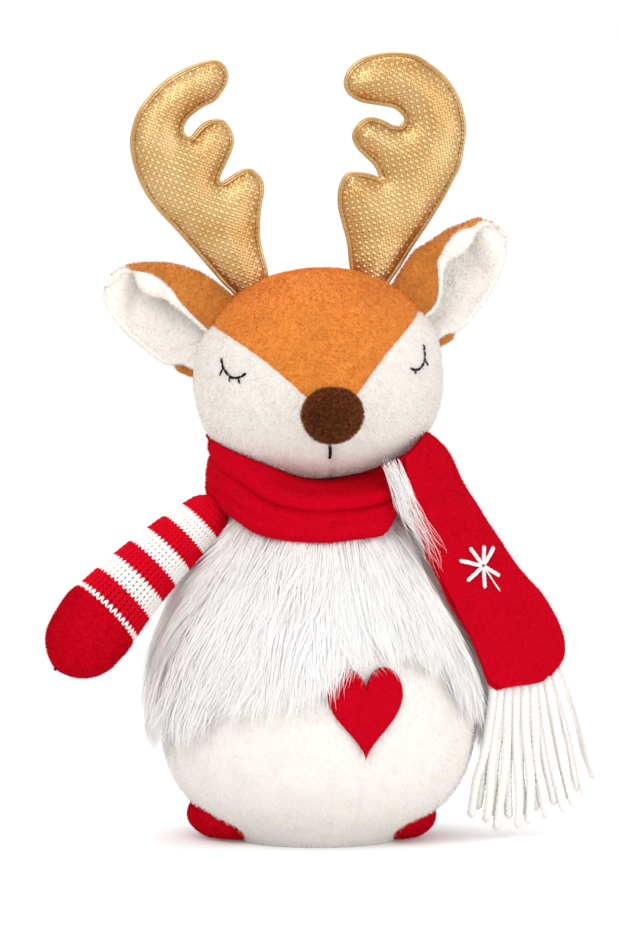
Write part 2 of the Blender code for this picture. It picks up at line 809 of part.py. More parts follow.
def split_at(bm, at, away):
    """Scores an open surface along both edges of a seam's gap."""
    geometry = bm.verts[:] + bm.edges[:] + bm.faces[:]
    bmesh.ops.bisect_plane(bm, geom=geometry, plane_co=at + away * (SEAM / 2), plane_no=away, dist=0.01)


def stitches(name, lines):
    """Thread laid on the face along lines given by x and z."""
    lift = THREAD_R + GAP
    tubes = []
    for line in lines:
        path = []
        for x, z in line:
            ground = head_front(x, z)
            away = Vector((ground.x / HEAD_W, ground.y / HEAD_FRONT, ground.z / HEAD_H)).normalized()
            path.append(ground + away * lift)
        tubes.append(tube(path, THREAD_R, 5))
    fused(name, tubes, BLACK_THREAD, HEAD)


def make_face():
    """Closed eyes as a lid line with lashes, and a short upright line below the nose."""
    for side in SIDES:
        stitches(f"{side}_eye", [LIDS[side]] + LASHES[side])
    stitches("mouth", [[(MOUTH_X, z) for z in MOUTH_ZS]])


def ear_surface(side, lift):
    """A grid of the cupped leaf, lifted off its middle surface towards the front."""
    sign = SIDES[side]
    lean = math.radians(EAR_LEAN)
    rise = math.radians(EAR_RISE[side])
    base_line = Vector((-sign * math.cos(lean), 0.0, math.sin(lean)))
    ahead = Vector((sign * math.cos(rise), 0.0, math.sin(rise)))
    start = Vector((sign * EAR_BASE[0], EAR_BASE[1], EAR_BASE[2])) + ear_out(side) * EAR_GAP
    rows = []
    for share in np.linspace(0.0, 1.0, 8):
        u = share * EAR_L
        half = EAR_HALF_W * math.sqrt(max(1.0 - share**3.2, 0.0))
        half = max(half, EAR_TIP)
        square = ahead.cross(Vector((0.0, sign, 0.0))).normalized()
        line = base_line.lerp(square, min(1.0, share * 1.6)).normalized()
        row = []
        for across in np.linspace(-1.0, 1.0, 7):
            cup = EAR_CUP * (1.0 - across**2) * math.sin(math.pi * min(share * 0.9 + 0.08, 1.0))
            hug = EAR_HUG * across**2 * (1.0 - share) ** 3
            at = start + ahead * (u * (1.0 - 0.09 * across**2)) + line * half * across - ear_out(side) * hug
            row.append(at + Vector((0.0, cup - lift, 0.0)))
        rows.append(row)
    return rows


def ear_out(side):
    """The way out of the head at the ear's base, square to the base's line."""
    sign = SIDES[side]
    lean = math.radians(EAR_LEAN)
    return Vector((sign * math.sin(lean), 0.0, math.cos(lean)))


def make_ears():
    layers = [("ear_back", 0.0, ORANGE_PLUSH), ("ear_lining", EAR_PLUSH * 1.3 + 0.8, WHITE_PLUSH)]
    behind = Vector((0.0, 200.0, 0.0))
    for side in SIDES:
        for name, lift, surface in layers:
            points, faces = skin(ear_surface(side, lift), capped=False, ring_closed=False)
            piece = add_mesh(f"{side}_{name}", points, faces, surface, HEAD)
            turn_faces(piece, lambda at: at - behind)
            solidify(piece, EAR_PLUSH, 1.0)


def antler_outline():
    return smooth_line(ANTLER_OUTLINE, 2, closed=True)


def puff(distance):
    """Half the antler's thickness at a distance from its edge."""
    inner = max(distance - FLANGE, 0.0)
    return ANTLER_PUFF * (1.0 - math.exp(-inner / 5.5))


def make_antlers(room):
    edge = antler_outline()
    flat, triangles = filled_outline(edge, MESH_PITCH)
    heights = [puff(edge_distance(p, edge)) for p in flat]
    core, core_triangles = filled_outline(inset_outline(edge, FLANGE + 1.6), MESH_PITCH * 1.3)
    core_heights = [max(puff(edge_distance(p, edge)) - GAP - 0.6, 0.25) for p in core]
    for side, sign in SIDES.items():
        for name, way in (("front", Vector((0.0, -1.0, 0.0))), ("back", Vector((0.0, 1.0, 0.0)))):
            points = [(sign * x, ANTLER_Y + way.y * (0.2 + h), z) for (x, z), h in zip(flat, heights)]
            panel = add_mesh(f"{side}_antler_{name}", points, triangles, GOLD, HEAD)
            turn_faces(panel, lambda at, way=way: way)
            solidify(panel, ANTLER_SKIN, 1.0)
            cut(panel, room)
        count = len(core)
        points = [(sign * x, ANTLER_Y - h, z) for (x, z), h in zip(core, core_heights)]
        points += [(sign * x, ANTLER_Y + h, z) for (x, z), h in zip(core, core_heights)]
        rim = open_edges(core_triangles)
        faces = [list(t) for t in core_triangles] + [[i + count for i in t[::-1]] for t in core_triangles]
        faces += [[b, a, a + count, b + count] for a, b in rim]
        fill = outward(add_mesh(f"{side}_antler_stuffing", points, faces, FILL, HEAD))
        cut(fill, room)


def open_edges(triangles):
    """The directed edges that only one triangle uses."""
    seen = set()
    for t in triangles:
        for a, b in ((t[0], t[1]), (t[1], t[2]), (t[2], t[0])):
            seen.add((a, b))
    return [(a, b) for a, b in seen if (b, a) not in seen]


def inset_outline(edge, distance):
    """The outline moved inwards, without the loops that a narrow notch would make."""
    found = []
    fine = smooth_line(edge, 3, closed=True)
    area = 0.5 * np.sum(fine[:, 0] * np.roll(fine[:, 1], -1) - np.roll(fine[:, 0], -1) * fine[:, 1])
    turn = 1.0 if area > 0 else -1.0
    for before, at, after in zip(np.roll(fine, 1, axis=0), fine, np.roll(fine, -1, axis=0)):
        run = after - before
        inward = np.array((-run[1], run[0])) * turn / np.linalg.norm(run)
        moved = at + inward * distance
        if edge_distance(moved, fine) > distance - 0.05 and inside_outline(moved, fine):
            if not found or np.linalg.norm(moved - found[-1]) > 3.2:
                found.append(moved)
    if np.linalg.norm(found[0] - found[-1]) < 3.2:
        found.pop()
    return np.array(found)


# Scarf


def wrap_outer(z):
    return along(WRAP_OUT, min(max(z, WRAP_OUT[0][0]), WRAP_OUT[-1][0]))


def make_wrap():
    """The turn of fleece round the neck, drooping at the front, with two soft creases outside."""
    rings = []
    rows = 8
    for step in range(WRAP_STEPS):
        angle = 2 * math.pi * step / WRAP_STEPS
        degrees = abs((math.degrees(angle) + 180.0) % 360.0 - 180.0)
        top = along(WRAP_TOP, degrees)
        low = along(WRAP_LOW, degrees)
        turned = angle - BODY_TURN
        outer, inner = [], []
        for share in np.linspace(0.0, 1.0, rows):
            z = low + (top - low) * share
            round_off = WRAP_ROUND * (abs(2.0 * share - 1.0) ** 5)
            crease = WRAP_CREASE * math.cos(share * 6.0 * math.pi) * (1.0 - abs(2.0 * share - 1.0) ** 4)
            outside = wrap_outer(z) - round_off - crease
            x, y = math.sin(turned) * outside, -math.cos(turned) * outside
            wall = cover_radius(x, y, z) + 1.0
            wall = max(wall, head_radius(angle, z) + 2.6)
            inside = min(max(wall, outside - WRAP_THICK + round_off), outside - 2.0)
            inside = max(inside, wall)
            outer.append((max(outside, inside + 2.0), z))
            inner.append((inside, z))
        ring = outer + inner[::-1]
        rings.append([(r * math.sin(angle), -r * math.cos(angle), z) for r, z in ring])
    outward(add_mesh("scarf_wrap", *hoop(rings), RED_FLEECE))


def tail_frames():
    """Centres, across vectors and widths down the scarf's hanging end, on smooth lines."""
    centres = smooth_line([s[0] for s in TAIL_STATIONS], 3)
    across = smooth_line([s[1] for s in TAIL_STATIONS], 3)
    widths = smooth_line([(s[2],) for s in TAIL_STATIONS], 3)[:, 0]
    return [(Vector(c), Vector(a).normalized(), w) for c, a, w in zip(centres, across, widths)]


def tail_ring(frames, i):
    centre, across, width = frames[i]
    ahead = (frames[min(i + 1, len(frames) - 1)][0] - frames[max(i - 1, 0)][0]).normalized()
    out = across.cross(ahead).normalized()
    if out.y > 0:
        out = -out
    full = min(1.0, (len(frames) - 1 - i) / HEM_RUN)
    thick = TAIL_HEM + (TAIL_THICK - TAIL_HEM) * math.sin(full * math.pi / 2)
    ring = []
    for k in range(TAIL_SIDES):
        turn = 2 * math.pi * k / TAIL_SIDES
        c, s = math.cos(turn), math.sin(turn)
        u = math.copysign(abs(c) ** 0.75, c)
        v = math.copysign(abs(s) ** 0.75, s)
        fold = TAIL_FOLD * math.sin(u * 4.2 + 0.8) * min(1.0, i / 4.0) * full
        at = centre + across * (u * width / 2) + out * (v * thick / 2 + fold)
        reach = math.hypot(at.x, at.y)
        near = BODY.inverted() @ at
        wall = cover_radius(near.x, near.y, near.z) + 1.6
        if at.z > 150.0:
            wall = max(wall, wrap_outer(at.z) + 1.6)
        if reach < wall:
            at.x *= wall / reach
            at.y *= wall / reach
        ring.append(at)
    return ring


def make_tail():
    frames = tail_frames()
    rings = [tail_ring(frames, i) for i in range(len(frames))]
    outward(add_mesh("scarf_tail", *skin(rings), RED_FLEECE))


def make_snowflake():
    """Four straight stitches crossed on the front of the tail."""
    frames = tail_frames()
    i = round(SNOWFLAKE_AT * (len(frames) - 1))
    centre, across, _ = frames[i]
    ahead = (frames[i + 1][0] - frames[i - 1][0]).normalized()
    out = across.cross(ahead).normalized()
    if out.y > 0:
        out = -out
    ring = tail_ring(frames, i)
    front = max((Vector(p) - centre).dot(out) for p in ring) + GAP + THREAD_R + 1.2
    middle = centre + out * front
    tubes = []
    for k in range(4):
        turn = math.pi * k / 4 + 0.2
        arm = (across * math.cos(turn) + ahead * math.sin(turn)) * SNOWFLAKE_R
        tubes.append(tube([middle - arm, middle, middle + arm], THREAD_R))
    fused("snowflake", tubes, WHITE_YARN)


def fringe_frame():
    frames = tail_frames()
    centre, across, width = frames[-1]
    ahead = (frames[-1][0] - frames[-3][0]).normalized()
    return centre, across, width, ahead


def outside_cover(at, clearance):
    """The point moved out from the upright axis until it clears the body and the yoke beside it."""
    near = BODY.inverted() @ at
    wall = max(cover_radius(near.x, near.y, near.z + above) for above in (0.0, 5.0, 10.0, 16.0)) + clearance
    reach = math.hypot(at.x, at.y)
    if reach < wall:
        return Vector((at.x * wall / reach, at.y * wall / reach, at.z))
    return at


def make_fringe():
    """Two rows of yarn ends that hang from the tail's end, held by a row of knots."""
    centre, across, width, ahead = fringe_frame()
    out = across.cross(ahead).normalized()
    if out.y > 0:
        out = -out
    top = centre + ahead * KNOT_DROP
    half = width / 2 - 1.5
    bar = [outside_cover(top + across * (half * t), 5.0) for t in np.linspace(-1.0, 1.0, 7)]
    rings = []
    for at in bar:
        ring = []
        for k in range(8):
            turn = 2 * math.pi * (k + 0.5) / 8
            ring.append(at + ahead * (KNOT_R[0] * math.cos(turn)) + out * (KNOT_R[1] * math.sin(turn)))
        rings.append(ring)
    knots = outward(add_mesh("scarf_fringe", *skin(rings), WHITE_YARN))
    tubes = []
    for row in range(2):
        for i in range(FRINGE_ROW):
            share = (i + 0.5 * row) / (FRINGE_ROW - 0.5) * 2.0 - 1.0
            start = top + across * (share * (half - 1.6)) + out * (1.6 - 3.2 * row)
            fan = share * FRINGE_SPREAD
            length = FRINGE_LENGTH - 9.0 * abs(share) ** 2 + 2.0 * math.sin(5.0 * i + row)
            path = []
            for t in np.linspace(0.0, 1.0, 5):
                drop = Vector((0.0, 0.0, -length * t))
                sway = Vector((fan * t**1.2 + 0.5 * math.sin(6.0 * t + i), 0.0, 0.0))
                at = start + drop + sway + out * (1.8 * t * (1 - 2 * row))
                path.append(outside_cover(at, FRINGE_R + 3.2))
            tubes.append(tube(path, FRINGE_R, 5))
    fused("scarf_fringe", tubes, WHITE_YARN, WORLD, knots)


clear_scene()
PARTS = new_collection("plush_deer")
CUTTERS = new_collection("cutters")
WHITE_PLUSH = material("white_plush", (0.86, 0.83, 0.78))
ORANGE_PLUSH = material("orange_plush", (0.66, 0.25, 0.06))
RED_PLUSH = material("red_plush", (0.60, 0.01, 0.03))
RED_FLEECE = material("red_fleece", (0.60, 0.01, 0.03))
RED_FELT = material("red_felt", (0.55, 0.01, 0.03))
BROWN_PLUSH = material("brown_plush", (0.12, 0.04, 0.015))
LONG_PILE = material("long_pile", (0.90, 0.88, 0.85))
STRIPED_KNIT = material("striped_knit", (0.62, 0.05, 0.06))
GOLD = material("gold_embossed", (0.75, 0.48, 0.16), 0.35, 0.85)
FILL = material("fibre_fill", (0.90, 0.90, 0.90))
CALICO = material("calico", (0.80, 0.76, 0.66))
BLACK_THREAD = material("black_thread", (0.01, 0.01, 0.01), 0.6)
WHITE_YARN = material("white_yarn", (0.88, 0.86, 0.82))

make_body()
make_yoke()
make_heart()
make_feet()
for arm_side in SIDES:
    make_arm(arm_side)
HEAD_ROOM = make_head()
make_face()
make_ears()
make_antlers(HEAD_ROOM)
make_wrap()
make_tail()
make_snowflake()
make_fringe()
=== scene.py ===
"""The looks of a standing plush deer: plush with its nap, long-pile fur, knitted sleeves, fleece and yarn.

Sizes are in millimetres in the helpers and become metres where a mesh is made. The shapes follow the
construction model's driving dimensions, which are repeated below.
"""

import math

import bmesh
import bpy
import numpy as np
from mathutils import Matrix, Vector
from mathutils.bvhtree import BVHTree
from mathutils.geometry import delaunay_2d_cdt


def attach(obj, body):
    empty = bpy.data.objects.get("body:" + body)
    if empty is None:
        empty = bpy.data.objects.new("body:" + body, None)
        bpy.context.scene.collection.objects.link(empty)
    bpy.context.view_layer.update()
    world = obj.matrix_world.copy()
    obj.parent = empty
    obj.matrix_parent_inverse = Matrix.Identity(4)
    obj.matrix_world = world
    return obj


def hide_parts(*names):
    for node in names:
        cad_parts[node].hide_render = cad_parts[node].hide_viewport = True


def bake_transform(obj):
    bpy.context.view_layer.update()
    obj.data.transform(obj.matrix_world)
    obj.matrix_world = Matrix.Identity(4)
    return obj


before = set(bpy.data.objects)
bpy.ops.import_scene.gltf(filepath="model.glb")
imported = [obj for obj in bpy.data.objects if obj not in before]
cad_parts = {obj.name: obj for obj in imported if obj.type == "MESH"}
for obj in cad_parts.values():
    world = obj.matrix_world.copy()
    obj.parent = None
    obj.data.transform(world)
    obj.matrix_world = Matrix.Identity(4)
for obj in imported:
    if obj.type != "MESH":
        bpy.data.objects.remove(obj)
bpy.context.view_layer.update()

MM = 0.001
SEED = 12
SIDES = {"right": -1.0, "left": 1.0}

# Camera: the photograph's angle and scale
AZIMUTH = math.radians(-6.0)
ELEVATION = math.radians(6.5)
DISTANCE = 8.0
FIELD_HEIGHT = 0.4675  # metres across the long side of the picture, at the deer
AIM = (-3.75, 186.25)  # the picture's middle, to the right of and above the origin

# Body, in its own frame
BODY_TURN = math.radians(12.0)
BODY_PROFILE = [
    (42, 0), (46, 4), (51.2, 8.5), (60.2, 15.5), (66.8, 22), (74.4, 34.5), (78.6, 50), (80, 66),
    (78.8, 84), (74.8, 104), (67.5, 124), (58, 143), (49, 157), (42, 169), (38, 181), (36.5, 187),
]
FUR_TOP = 166.0
FUR_HEM = [  # angle from the front seam, height of the hem
    (-180, 52), (-120, 48), (-80, 50), (-50, 68), (-20, 82), (-6, 97.5), (14, 101.5), (30, 86.5),
    (60, 52), (90, 42), (135, 48), (180, 52),
]
HEART_AT = (-0.5, 71.5)
HEART_W = 39.0
HEART_H = 46.0
FELT = 1.5

# Feet
FOOT_AT = {"right": (-37.5, 11.0, 11.5), "left": (30.7, -10.0, 11.5)}
FOOT_R = (27.0, 33.0, 14.5)

# Arms
PIVOT = {"right": (69.4, 0.0, 153.9), "left": (62.0, 0.0, 152.0)}
ARM_SLOPE = {"right": 43.0, "left": 52.0}
ARM_ROOT = {"right": 25.0, "left": 12.0}  # how far the sleeve runs on under the scarf
ARM_PROFILE = [(0.0, 13.6), (10.0, 15.0), (20.0, 16.0), (36.0, 17.6), (48.0, 19.0), (56.5, 19.9)]
ARM_BOW = {"right": 2.8, "left": 0.0}  # how far the middle of the arm rises from a straight line
MITTEN_PROFILE = [(56.7, 19.9), (65.0, 20.2), (74.0, 19.4), (82.0, 16.6), (88.4, 11.2), (92.0, 4.8)]
MITTEN_START = 55.6
MITTEN_TIP = 93.0
COURSE = 2.64

# Head, in its own frame about its centre
HEAD_AT = Vector((0.0, 0.0, 235.0))
HEAD_TILT = math.radians(-3.6)
HEAD_W = 62.5
HEAD_FRONT = 58.0
HEAD_BACK = 57.0
HEAD_H = 51.0
HEAD_LOW = 54.5  # height of the half below the middle
MUZZLE = 13.5
MUZZLE_AT = -15.0
MUZZLE_SPREAD = (25.0, 21.0)
BLAZE_LOW = (13.0, -5.5)
BLAZE_HIGH = (52.5, 28.0)
BLAZE_BOW = 2.6
SIDE_SEAM_Y = 5.0
NECK_Z = -53.2
NOSE_AT = (-1.2, -71.5, -14.5)
NOSE_R = (14.0, 10.0, 12.4)
NOSE_POWER = 2.25  # 2 is an egg, and more is squarer

BODY = Matrix.Rotation(BODY_TURN, 4, "Z")
HEAD = Matrix.Translation(HEAD_AT) @ Matrix.Rotation(HEAD_TILT, 4, "Y")
WORLD = Matrix.Identity(4)


# Curves and surfaces that follow a rule


def smooth_line(points, per_span=4, closed=False):
    """A Catmull-Rom curve through the points."""
    control = np.array(points, float)
    count = len(control)
    found = []
    for i in range(count if closed else count - 1):
        if closed:
            a, b, c, d = (control[(i + k) % count] for k in (-1, 0, 1, 2))
        else:
            a, b, c, d = (control[min(max(i + k, 0), count - 1)] for k in (-1, 0, 1, 2))
        for t in np.arange(per_span) / per_span:
            bend = (2 * a - 5 * b + 4 * c - d) * t**2
            twist = (3 * b - a - 3 * c + d) * t**3
            found.append(0.5 * (2 * b + (c - a) * t + bend + twist))
    if not closed:
        found.append(control[-1])
    return np.array(found)


class Table:
    """A two-column table read on a smooth line."""

    def __init__(self, points):
        self.line = smooth_line(points, 12)

    def __call__(self, x):
        return np.interp(x, self.line[:, 0], self.line[:, 1])


BODY_LINE = smooth_line(BODY_PROFILE, 12)
hem_at = Table(FUR_HEM)
arm_line = Table([(-12.0, 7.0)] + ARM_PROFILE + MITTEN_PROFILE + [(MITTEN_TIP, 0.0)])


def turns(count):
    """Even steps of angle round a circle."""
    return np.linspace(0, 2 * math.pi, count, endpoint=False)


def about_axis(angle, radius, height):
    """Points about the upright axis, from their angle past the front, their distance and their height."""
    return np.stack([np.sin(angle) * radius, -np.cos(angle) * radius, height], -1)


def globe(columns, rows):
    """Unit vectors in rows round the upright axis, from straight down to straight up."""
    tilt, turn = np.meshgrid(np.linspace(-math.pi / 2, math.pi / 2, rows), turns(columns), indexing="ij")
    return about_axis(turn, np.cos(tilt), np.sin(tilt))


def unit(vectors):
    return vectors / np.maximum(np.linalg.norm(vectors, axis=-1, keepdims=True), 1e-9)


def distance_along(line):
    return np.concatenate([[0.0], np.cumsum(np.linalg.norm(np.diff(line, axis=0), axis=1))])


def hump(away, width):
    """One at no distance, falling off smoothly over a width."""
    return np.exp(-((away / width) ** 2))


def eased(x):
    x = np.clip(x, 0.0, 1.0)
    return x * x * (3.0 - 2.0 * x)


def in_body_frame(points):
    return points @ np.array(BODY.inverted())[:3, :3].T


def placed(points, place):
    m = np.array(place)
    return points @ m[:3, :3].T + m[:3, 3]


def body_radius(z):
    return np.interp(z, BODY_LINE[:, 1], BODY_LINE[:, 0])


def wrapped_degrees(angle):
    return (np.degrees(angle) + 180.0) % 360.0 - 180.0


def fur_hem(angle):
    return hem_at(wrapped_degrees(angle))


def head_points(directions):
    """Points of the head's surface in these directions, in the head's frame."""
    d = unit(np.asarray(directions, float))
    turn = np.arctan2(d[:, 0], -d[:, 1])
    z = d[:, 2]
    power = np.where(z > 0, 2.0, 2.6)
    level = np.sqrt(np.clip(1.0 - np.abs(z) ** power, 0.0, 1.0))
    depth = np.where(np.cos(turn) > 0, HEAD_FRONT, HEAD_BACK)
    x = HEAD_W * level * np.sin(turn)
    y = -depth * level * np.cos(turn)
    z = z * np.where(z > 0, HEAD_H, HEAD_LOW)
    front = np.clip(np.cos(turn), 0.0, None) * level
    spread = (x / MUZZLE_SPREAD[0]) ** 2 + ((z - MUZZLE_AT) / MUZZLE_SPREAD[1]) ** 2
    y -= MUZZLE * np.exp(-spread) * front
    return np.stack([x, y, z], 1)


def bow(x):
    """How far the blaze's edge bows up from a straight line at a distance from the face's middle."""
    share = np.clip((np.abs(x) - BLAZE_LOW[0]) / (BLAZE_HIGH[0] - BLAZE_LOW[0]), 0.0, 1.0)
    return BLAZE_BOW * np.sin(math.pi * share)


# Noise that is the same each run


def lattice_noise(points, scale, seed=0):
    """Smooth noise from -1 to 1 at each point, on a grid as coarse as scale."""
    p = np.asarray(points, float) / scale + 1000.0
    cell = np.floor(p).astype(np.int64)
    part = eased(p - cell)
    total = np.zeros(len(p))
    for corner in range(8):
        step = np.array([corner & 1, (corner >> 1) & 1, (corner >> 2) & 1])
        c = cell + step
        h = c[:, 0] * 73856093 ^ c[:, 1] * 19349663 ^ c[:, 2] * 83492791 ^ (seed * 2654435761)
        h = (h ^ (h >> 13)) * 1274126177
        value = ((h ^ (h >> 16)) & 0xFFFF) / 32767.5 - 1.0
        weight = np.prod(np.where(step == 1, part, 1 - part), axis=1)
        total += value * weight
    return total


# Mesh makers


def link(obj):
    bpy.context.scene.collection.objects.link(obj)
    return obj


def add_mesh(name, points, faces, surface, place=WORLD):
    """An object from points in millimetres in a frame, with its mesh in world space."""
    p = placed(np.asarray(points, float), place) * MM
    mesh = bpy.data.meshes.new(name)
    if isinstance(faces, np.ndarray):
        count, size = faces.shape
        mesh.vertices.add(len(p))
        mesh.vertices.foreach_set("co", p.astype(np.float32).ravel())
        mesh.loops.add(count * size)
        mesh.loops.foreach_set("vertex_index", faces.astype(np.int32).ravel())
        mesh.polygons.add(count)
        mesh.polygons.foreach_set("loop_start", np.arange(0, count * size, size, dtype=np.int32))
        mesh.update(calc_edges=True)
    else:
        mesh.from_pydata([tuple(q) for q in p], [], faces)
    mesh.validate()
    mesh.shade_smooth()
    for one in surface if isinstance(surface, list) else [surface]:
        mesh.materials.append(one)
    return link(bpy.data.objects.new(name, mesh))


def grid_faces(rows, columns, ring_closed=False, row_closed=False):
    """Quads of a grid of points, rows by columns, as an array."""
    r = np.arange(rows if row_closed else rows - 1)
    c = np.arange(columns if ring_closed else columns - 1)
    r, c = np.meshgrid(r, c, indexing="ij")
    r2 = (r + 1) % rows
    c2 = (c + 1) % columns
    quads = np.stack([r * columns + c, r * columns + c2, r2 * columns + c2, r2 * columns + c], -1)
    return quads.reshape(-1, 4)


def double_tube(outer, inner, rows, columns):
    """Points and quads of a tube with a wall between two grids of points, joined at both ends."""
    faces = grid_faces(rows, columns, ring_closed=True)
    ends = []
    for first in (0, (rows - 1) * columns):
        for i in range(columns):
            a, b = first + i, first + (i + 1) % columns
            ends.append([a, b, b + len(outer), a + len(outer)])
    return np.vstack([outer, inner]), np.vstack([faces, faces[:, ::-1] + len(outer), ends])


def triangles_of(faces):
    """The triangles of an array of quads or triangles."""
    faces = np.asarray(faces)
    if faces.shape[1] == 3:
        return faces
    return np.concatenate([faces[:, [0, 1, 2]], faces[:, [0, 2, 3]]])


WORN_BY = {}  # body and slot of each finished piece, which its nap shares


def finish_piece(obj, body, slot, *nodes):
    """Puts a piece on its body and names what it stands for."""
    WORN_BY[obj.name] = body, slot
    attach(obj, body)
    if nodes:
        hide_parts(*nodes)


def outward(obj):
    bm = bmesh.new()
    bm.from_mesh(obj.data)
    bmesh.ops.recalc_face_normals(bm, faces=bm.faces)
    bm.to_mesh(obj.data)
    bm.free()
    return obj


def scatter(obj, count, seed, keep=None):
    """Random places on a mesh, evenly by area: points and normals in millimetres."""
    mesh = obj.data
    mesh.calc_loop_triangles()
    co = np.empty(len(mesh.vertices) * 3)
    mesh.vertices.foreach_get("co", co)
    co = co.reshape(-1, 3) / MM
    tri = np.empty(len(mesh.loop_triangles) * 3, np.int32)
    mesh.loop_triangles.foreach_get("vertices", tri)
    tri = tri.reshape(-1, 3)
    a, b, c = co[tri[:, 0]], co[tri[:, 1]], co[tri[:, 2]]
    cross = np.cross(b - a, c - a)
    area = np.linalg.norm(cross, axis=1)
    rng = np.random.default_rng(seed)
    pick = np.searchsorted(np.cumsum(area) / area.sum(), rng.random(count))
    pick = np.clip(pick, 0, len(tri) - 1)
    u, v = rng.random(count), rng.random(count)
    flip = u + v > 1
    u[flip], v[flip] = 1 - u[flip], 1 - v[flip]
    at = a[pick] + (b[pick] - a[pick]) * u[:, None] + (c[pick] - a[pick]) * v[:, None]
    normal = cross[pick] / np.maximum(area[pick], 1e-12)[:, None]
    if keep is not None:
        chosen = keep(at)
        at, normal = at[chosen], normal[chosen]
    return at, normal


def blades(name, roots, tips, mids, width, surface):
    """Tapered flat fibres, each a quad below a triangle, from arrays of points in millimetres."""
    count = len(roots)
    rng = np.random.default_rng(len(name) + count)
    side = unit(np.cross(unit(tips - roots), rng.normal(size=(count, 3))))
    half = side * width / 2
    points = np.stack([roots - half, roots + half, mids - half * 0.8, mids + half * 0.8, tips], 1)
    base = np.arange(count)[:, None] * 5
    tri = np.array([[0, 1, 3], [0, 3, 2], [2, 3, 4]])
    faces = (base[:, None] + tri[None]).reshape(-1, 3)
    return add_mesh(name, points.reshape(-1, 3), faces, surface)


def nap(name, base, surface, count, length, width, lean, seed, keep=None):
    """Short pile standing on a plush piece, one fibre to each random place, leaning a little."""
    at, normal = scatter(base, count, SEED + seed, keep)
    rng = np.random.default_rng(SEED + seed + 100)
    way = normal + np.array(lean) + rng.normal(scale=0.28, size=at.shape)
    way = unit(way + np.stack([lattice_noise(at, 14.0, seed + k) for k in range(3)], 1) * 0.45)
    size = length * rng.uniform(0.6, 1.15, len(at))[:, None]
    roots = at - normal * 0.25
    mids = at + normal * size * 0.45 + way * size * 0.1
    tips = at + way * size
    finish_piece(blades(name, roots, tips, mids, width, surface), *WORN_BY[base.name])


# Materials


def settle(made, values):
    """Sets a node's sockets by their names."""
    for key, value in values.items():
        made.inputs[key].default_value = value


def new_material(name, values):
    made = bpy.data.materials.new(name)
    made.use_nodes = True
    tree = made.node_tree
    shader = tree.nodes["Principled BSDF"]
    settle(shader, values)
    return made, tree, shader


def node(tree, kind, **settings):
    made = tree.nodes.new(kind)
    for key, value in settings.items():
        if key in made.inputs:
            made.inputs[key].default_value = value
        else:
            setattr(made, key, value)
    return made


def scaled(colour, by):
    return tuple(min(1.0, c * by) for c in colour)


def colour_ramp(tree, source, stops):
    ramp = tree.nodes.new("ShaderNodeValToRGB")
    tree.links.new(source, ramp.inputs[0])
    elements = ramp.color_ramp.elements
    while len(elements) < len(stops):
        elements.new(0.5)
    for element, (place, colour) in zip(elements, stops):
        element.position = place
        element.color = (*colour, 1.0)
    return ramp.outputs[0]


def mapped(tree, source, low, high, start=0.0, end=1.0, **settings):
    """A value read from one range into another."""
    made = node(tree, "ShaderNodeMapRange", **settings)
    settle(made, {"From Min": start, "From Max": end, "To Min": low, "To Max": high})
    tree.links.new(source, made.inputs["Value"])
    return made.outputs["Result"]


def object_coordinates(tree):
    return tree.nodes.new("ShaderNodeTexCoord").outputs["Object"]


def noise(tree, scale, detail=3.0, roughness=0.55):
    made = node(tree, "ShaderNodeTexNoise", Scale=scale, Detail=detail, Roughness=roughness)
    tree.links.new(object_coordinates(tree), made.inputs["Vector"])
    return made.outputs["Fac"]


def mottle(tree, shader, source, colour, shades):
    """Colours a shader in shades of one colour, each at its place in the source's range."""
    stops = [(place, scaled(colour, by)) for place, by in shades]
    tree.links.new(colour_ramp(tree, source, stops), shader.inputs["Base Color"])


def bump(tree, shader, height, strength, distance):
    made = node(tree, "ShaderNodeBump", Strength=strength, Distance=distance)
    tree.links.new(height, made.inputs["Height"])
    tree.links.new(made.outputs["Normal"], shader.inputs["Normal"])


def plush_material(name, colour, dark, light, sheen=0.35, patch=90.0):
    """Short-pile plush: brushed patches of nap over a fine fibrous grain."""
    shine = 0.15 if sheen else 0.02
    look = {"Roughness": 0.92, "Sheen Weight": sheen, "Sheen Roughness": 0.4, "Specular IOR Level": shine}
    made, tree, shader = new_material(name, look)
    mottle(tree, shader, noise(tree, patch, 4.0, 0.6), colour, [(0.30, dark), (0.52, 1.0), (0.74, light)])
    bump(tree, shader, noise(tree, 1400.0, 3.0, 0.7), 0.35, 0.0006)
    return made


def fibre_material(name, colour, spread=0.12, scale=220.0, shine=0.2):
    """Pile and yarn fibres, each patch a little lighter or darker."""
    made, tree, shader = new_material(name, {"Roughness": 0.85, "Specular IOR Level": shine})
    mottle(tree, shader, noise(tree, scale, 2.0), colour, [(0.3, 1.0 - spread), (0.7, 1.0 + spread)])
    return made


def fleece_material(name, colour):
    """Brushed fleece or felt: a mat of fine fibres whose small pits are painted darker, as shade, by the same
    noise that makes its bump.
    """
    made, tree, shader = new_material(name, {"Roughness": 0.95, "Specular IOR Level": 0.02})
    fine = noise(tree, 900.0, 5.0, 0.7)
    mottle(tree, shader, fine, colour, [(0.30, 0.84), (0.5, 1.0), (0.72, 1.12)])
    bump(tree, shader, fine, 0.25, 0.0005)
    return made


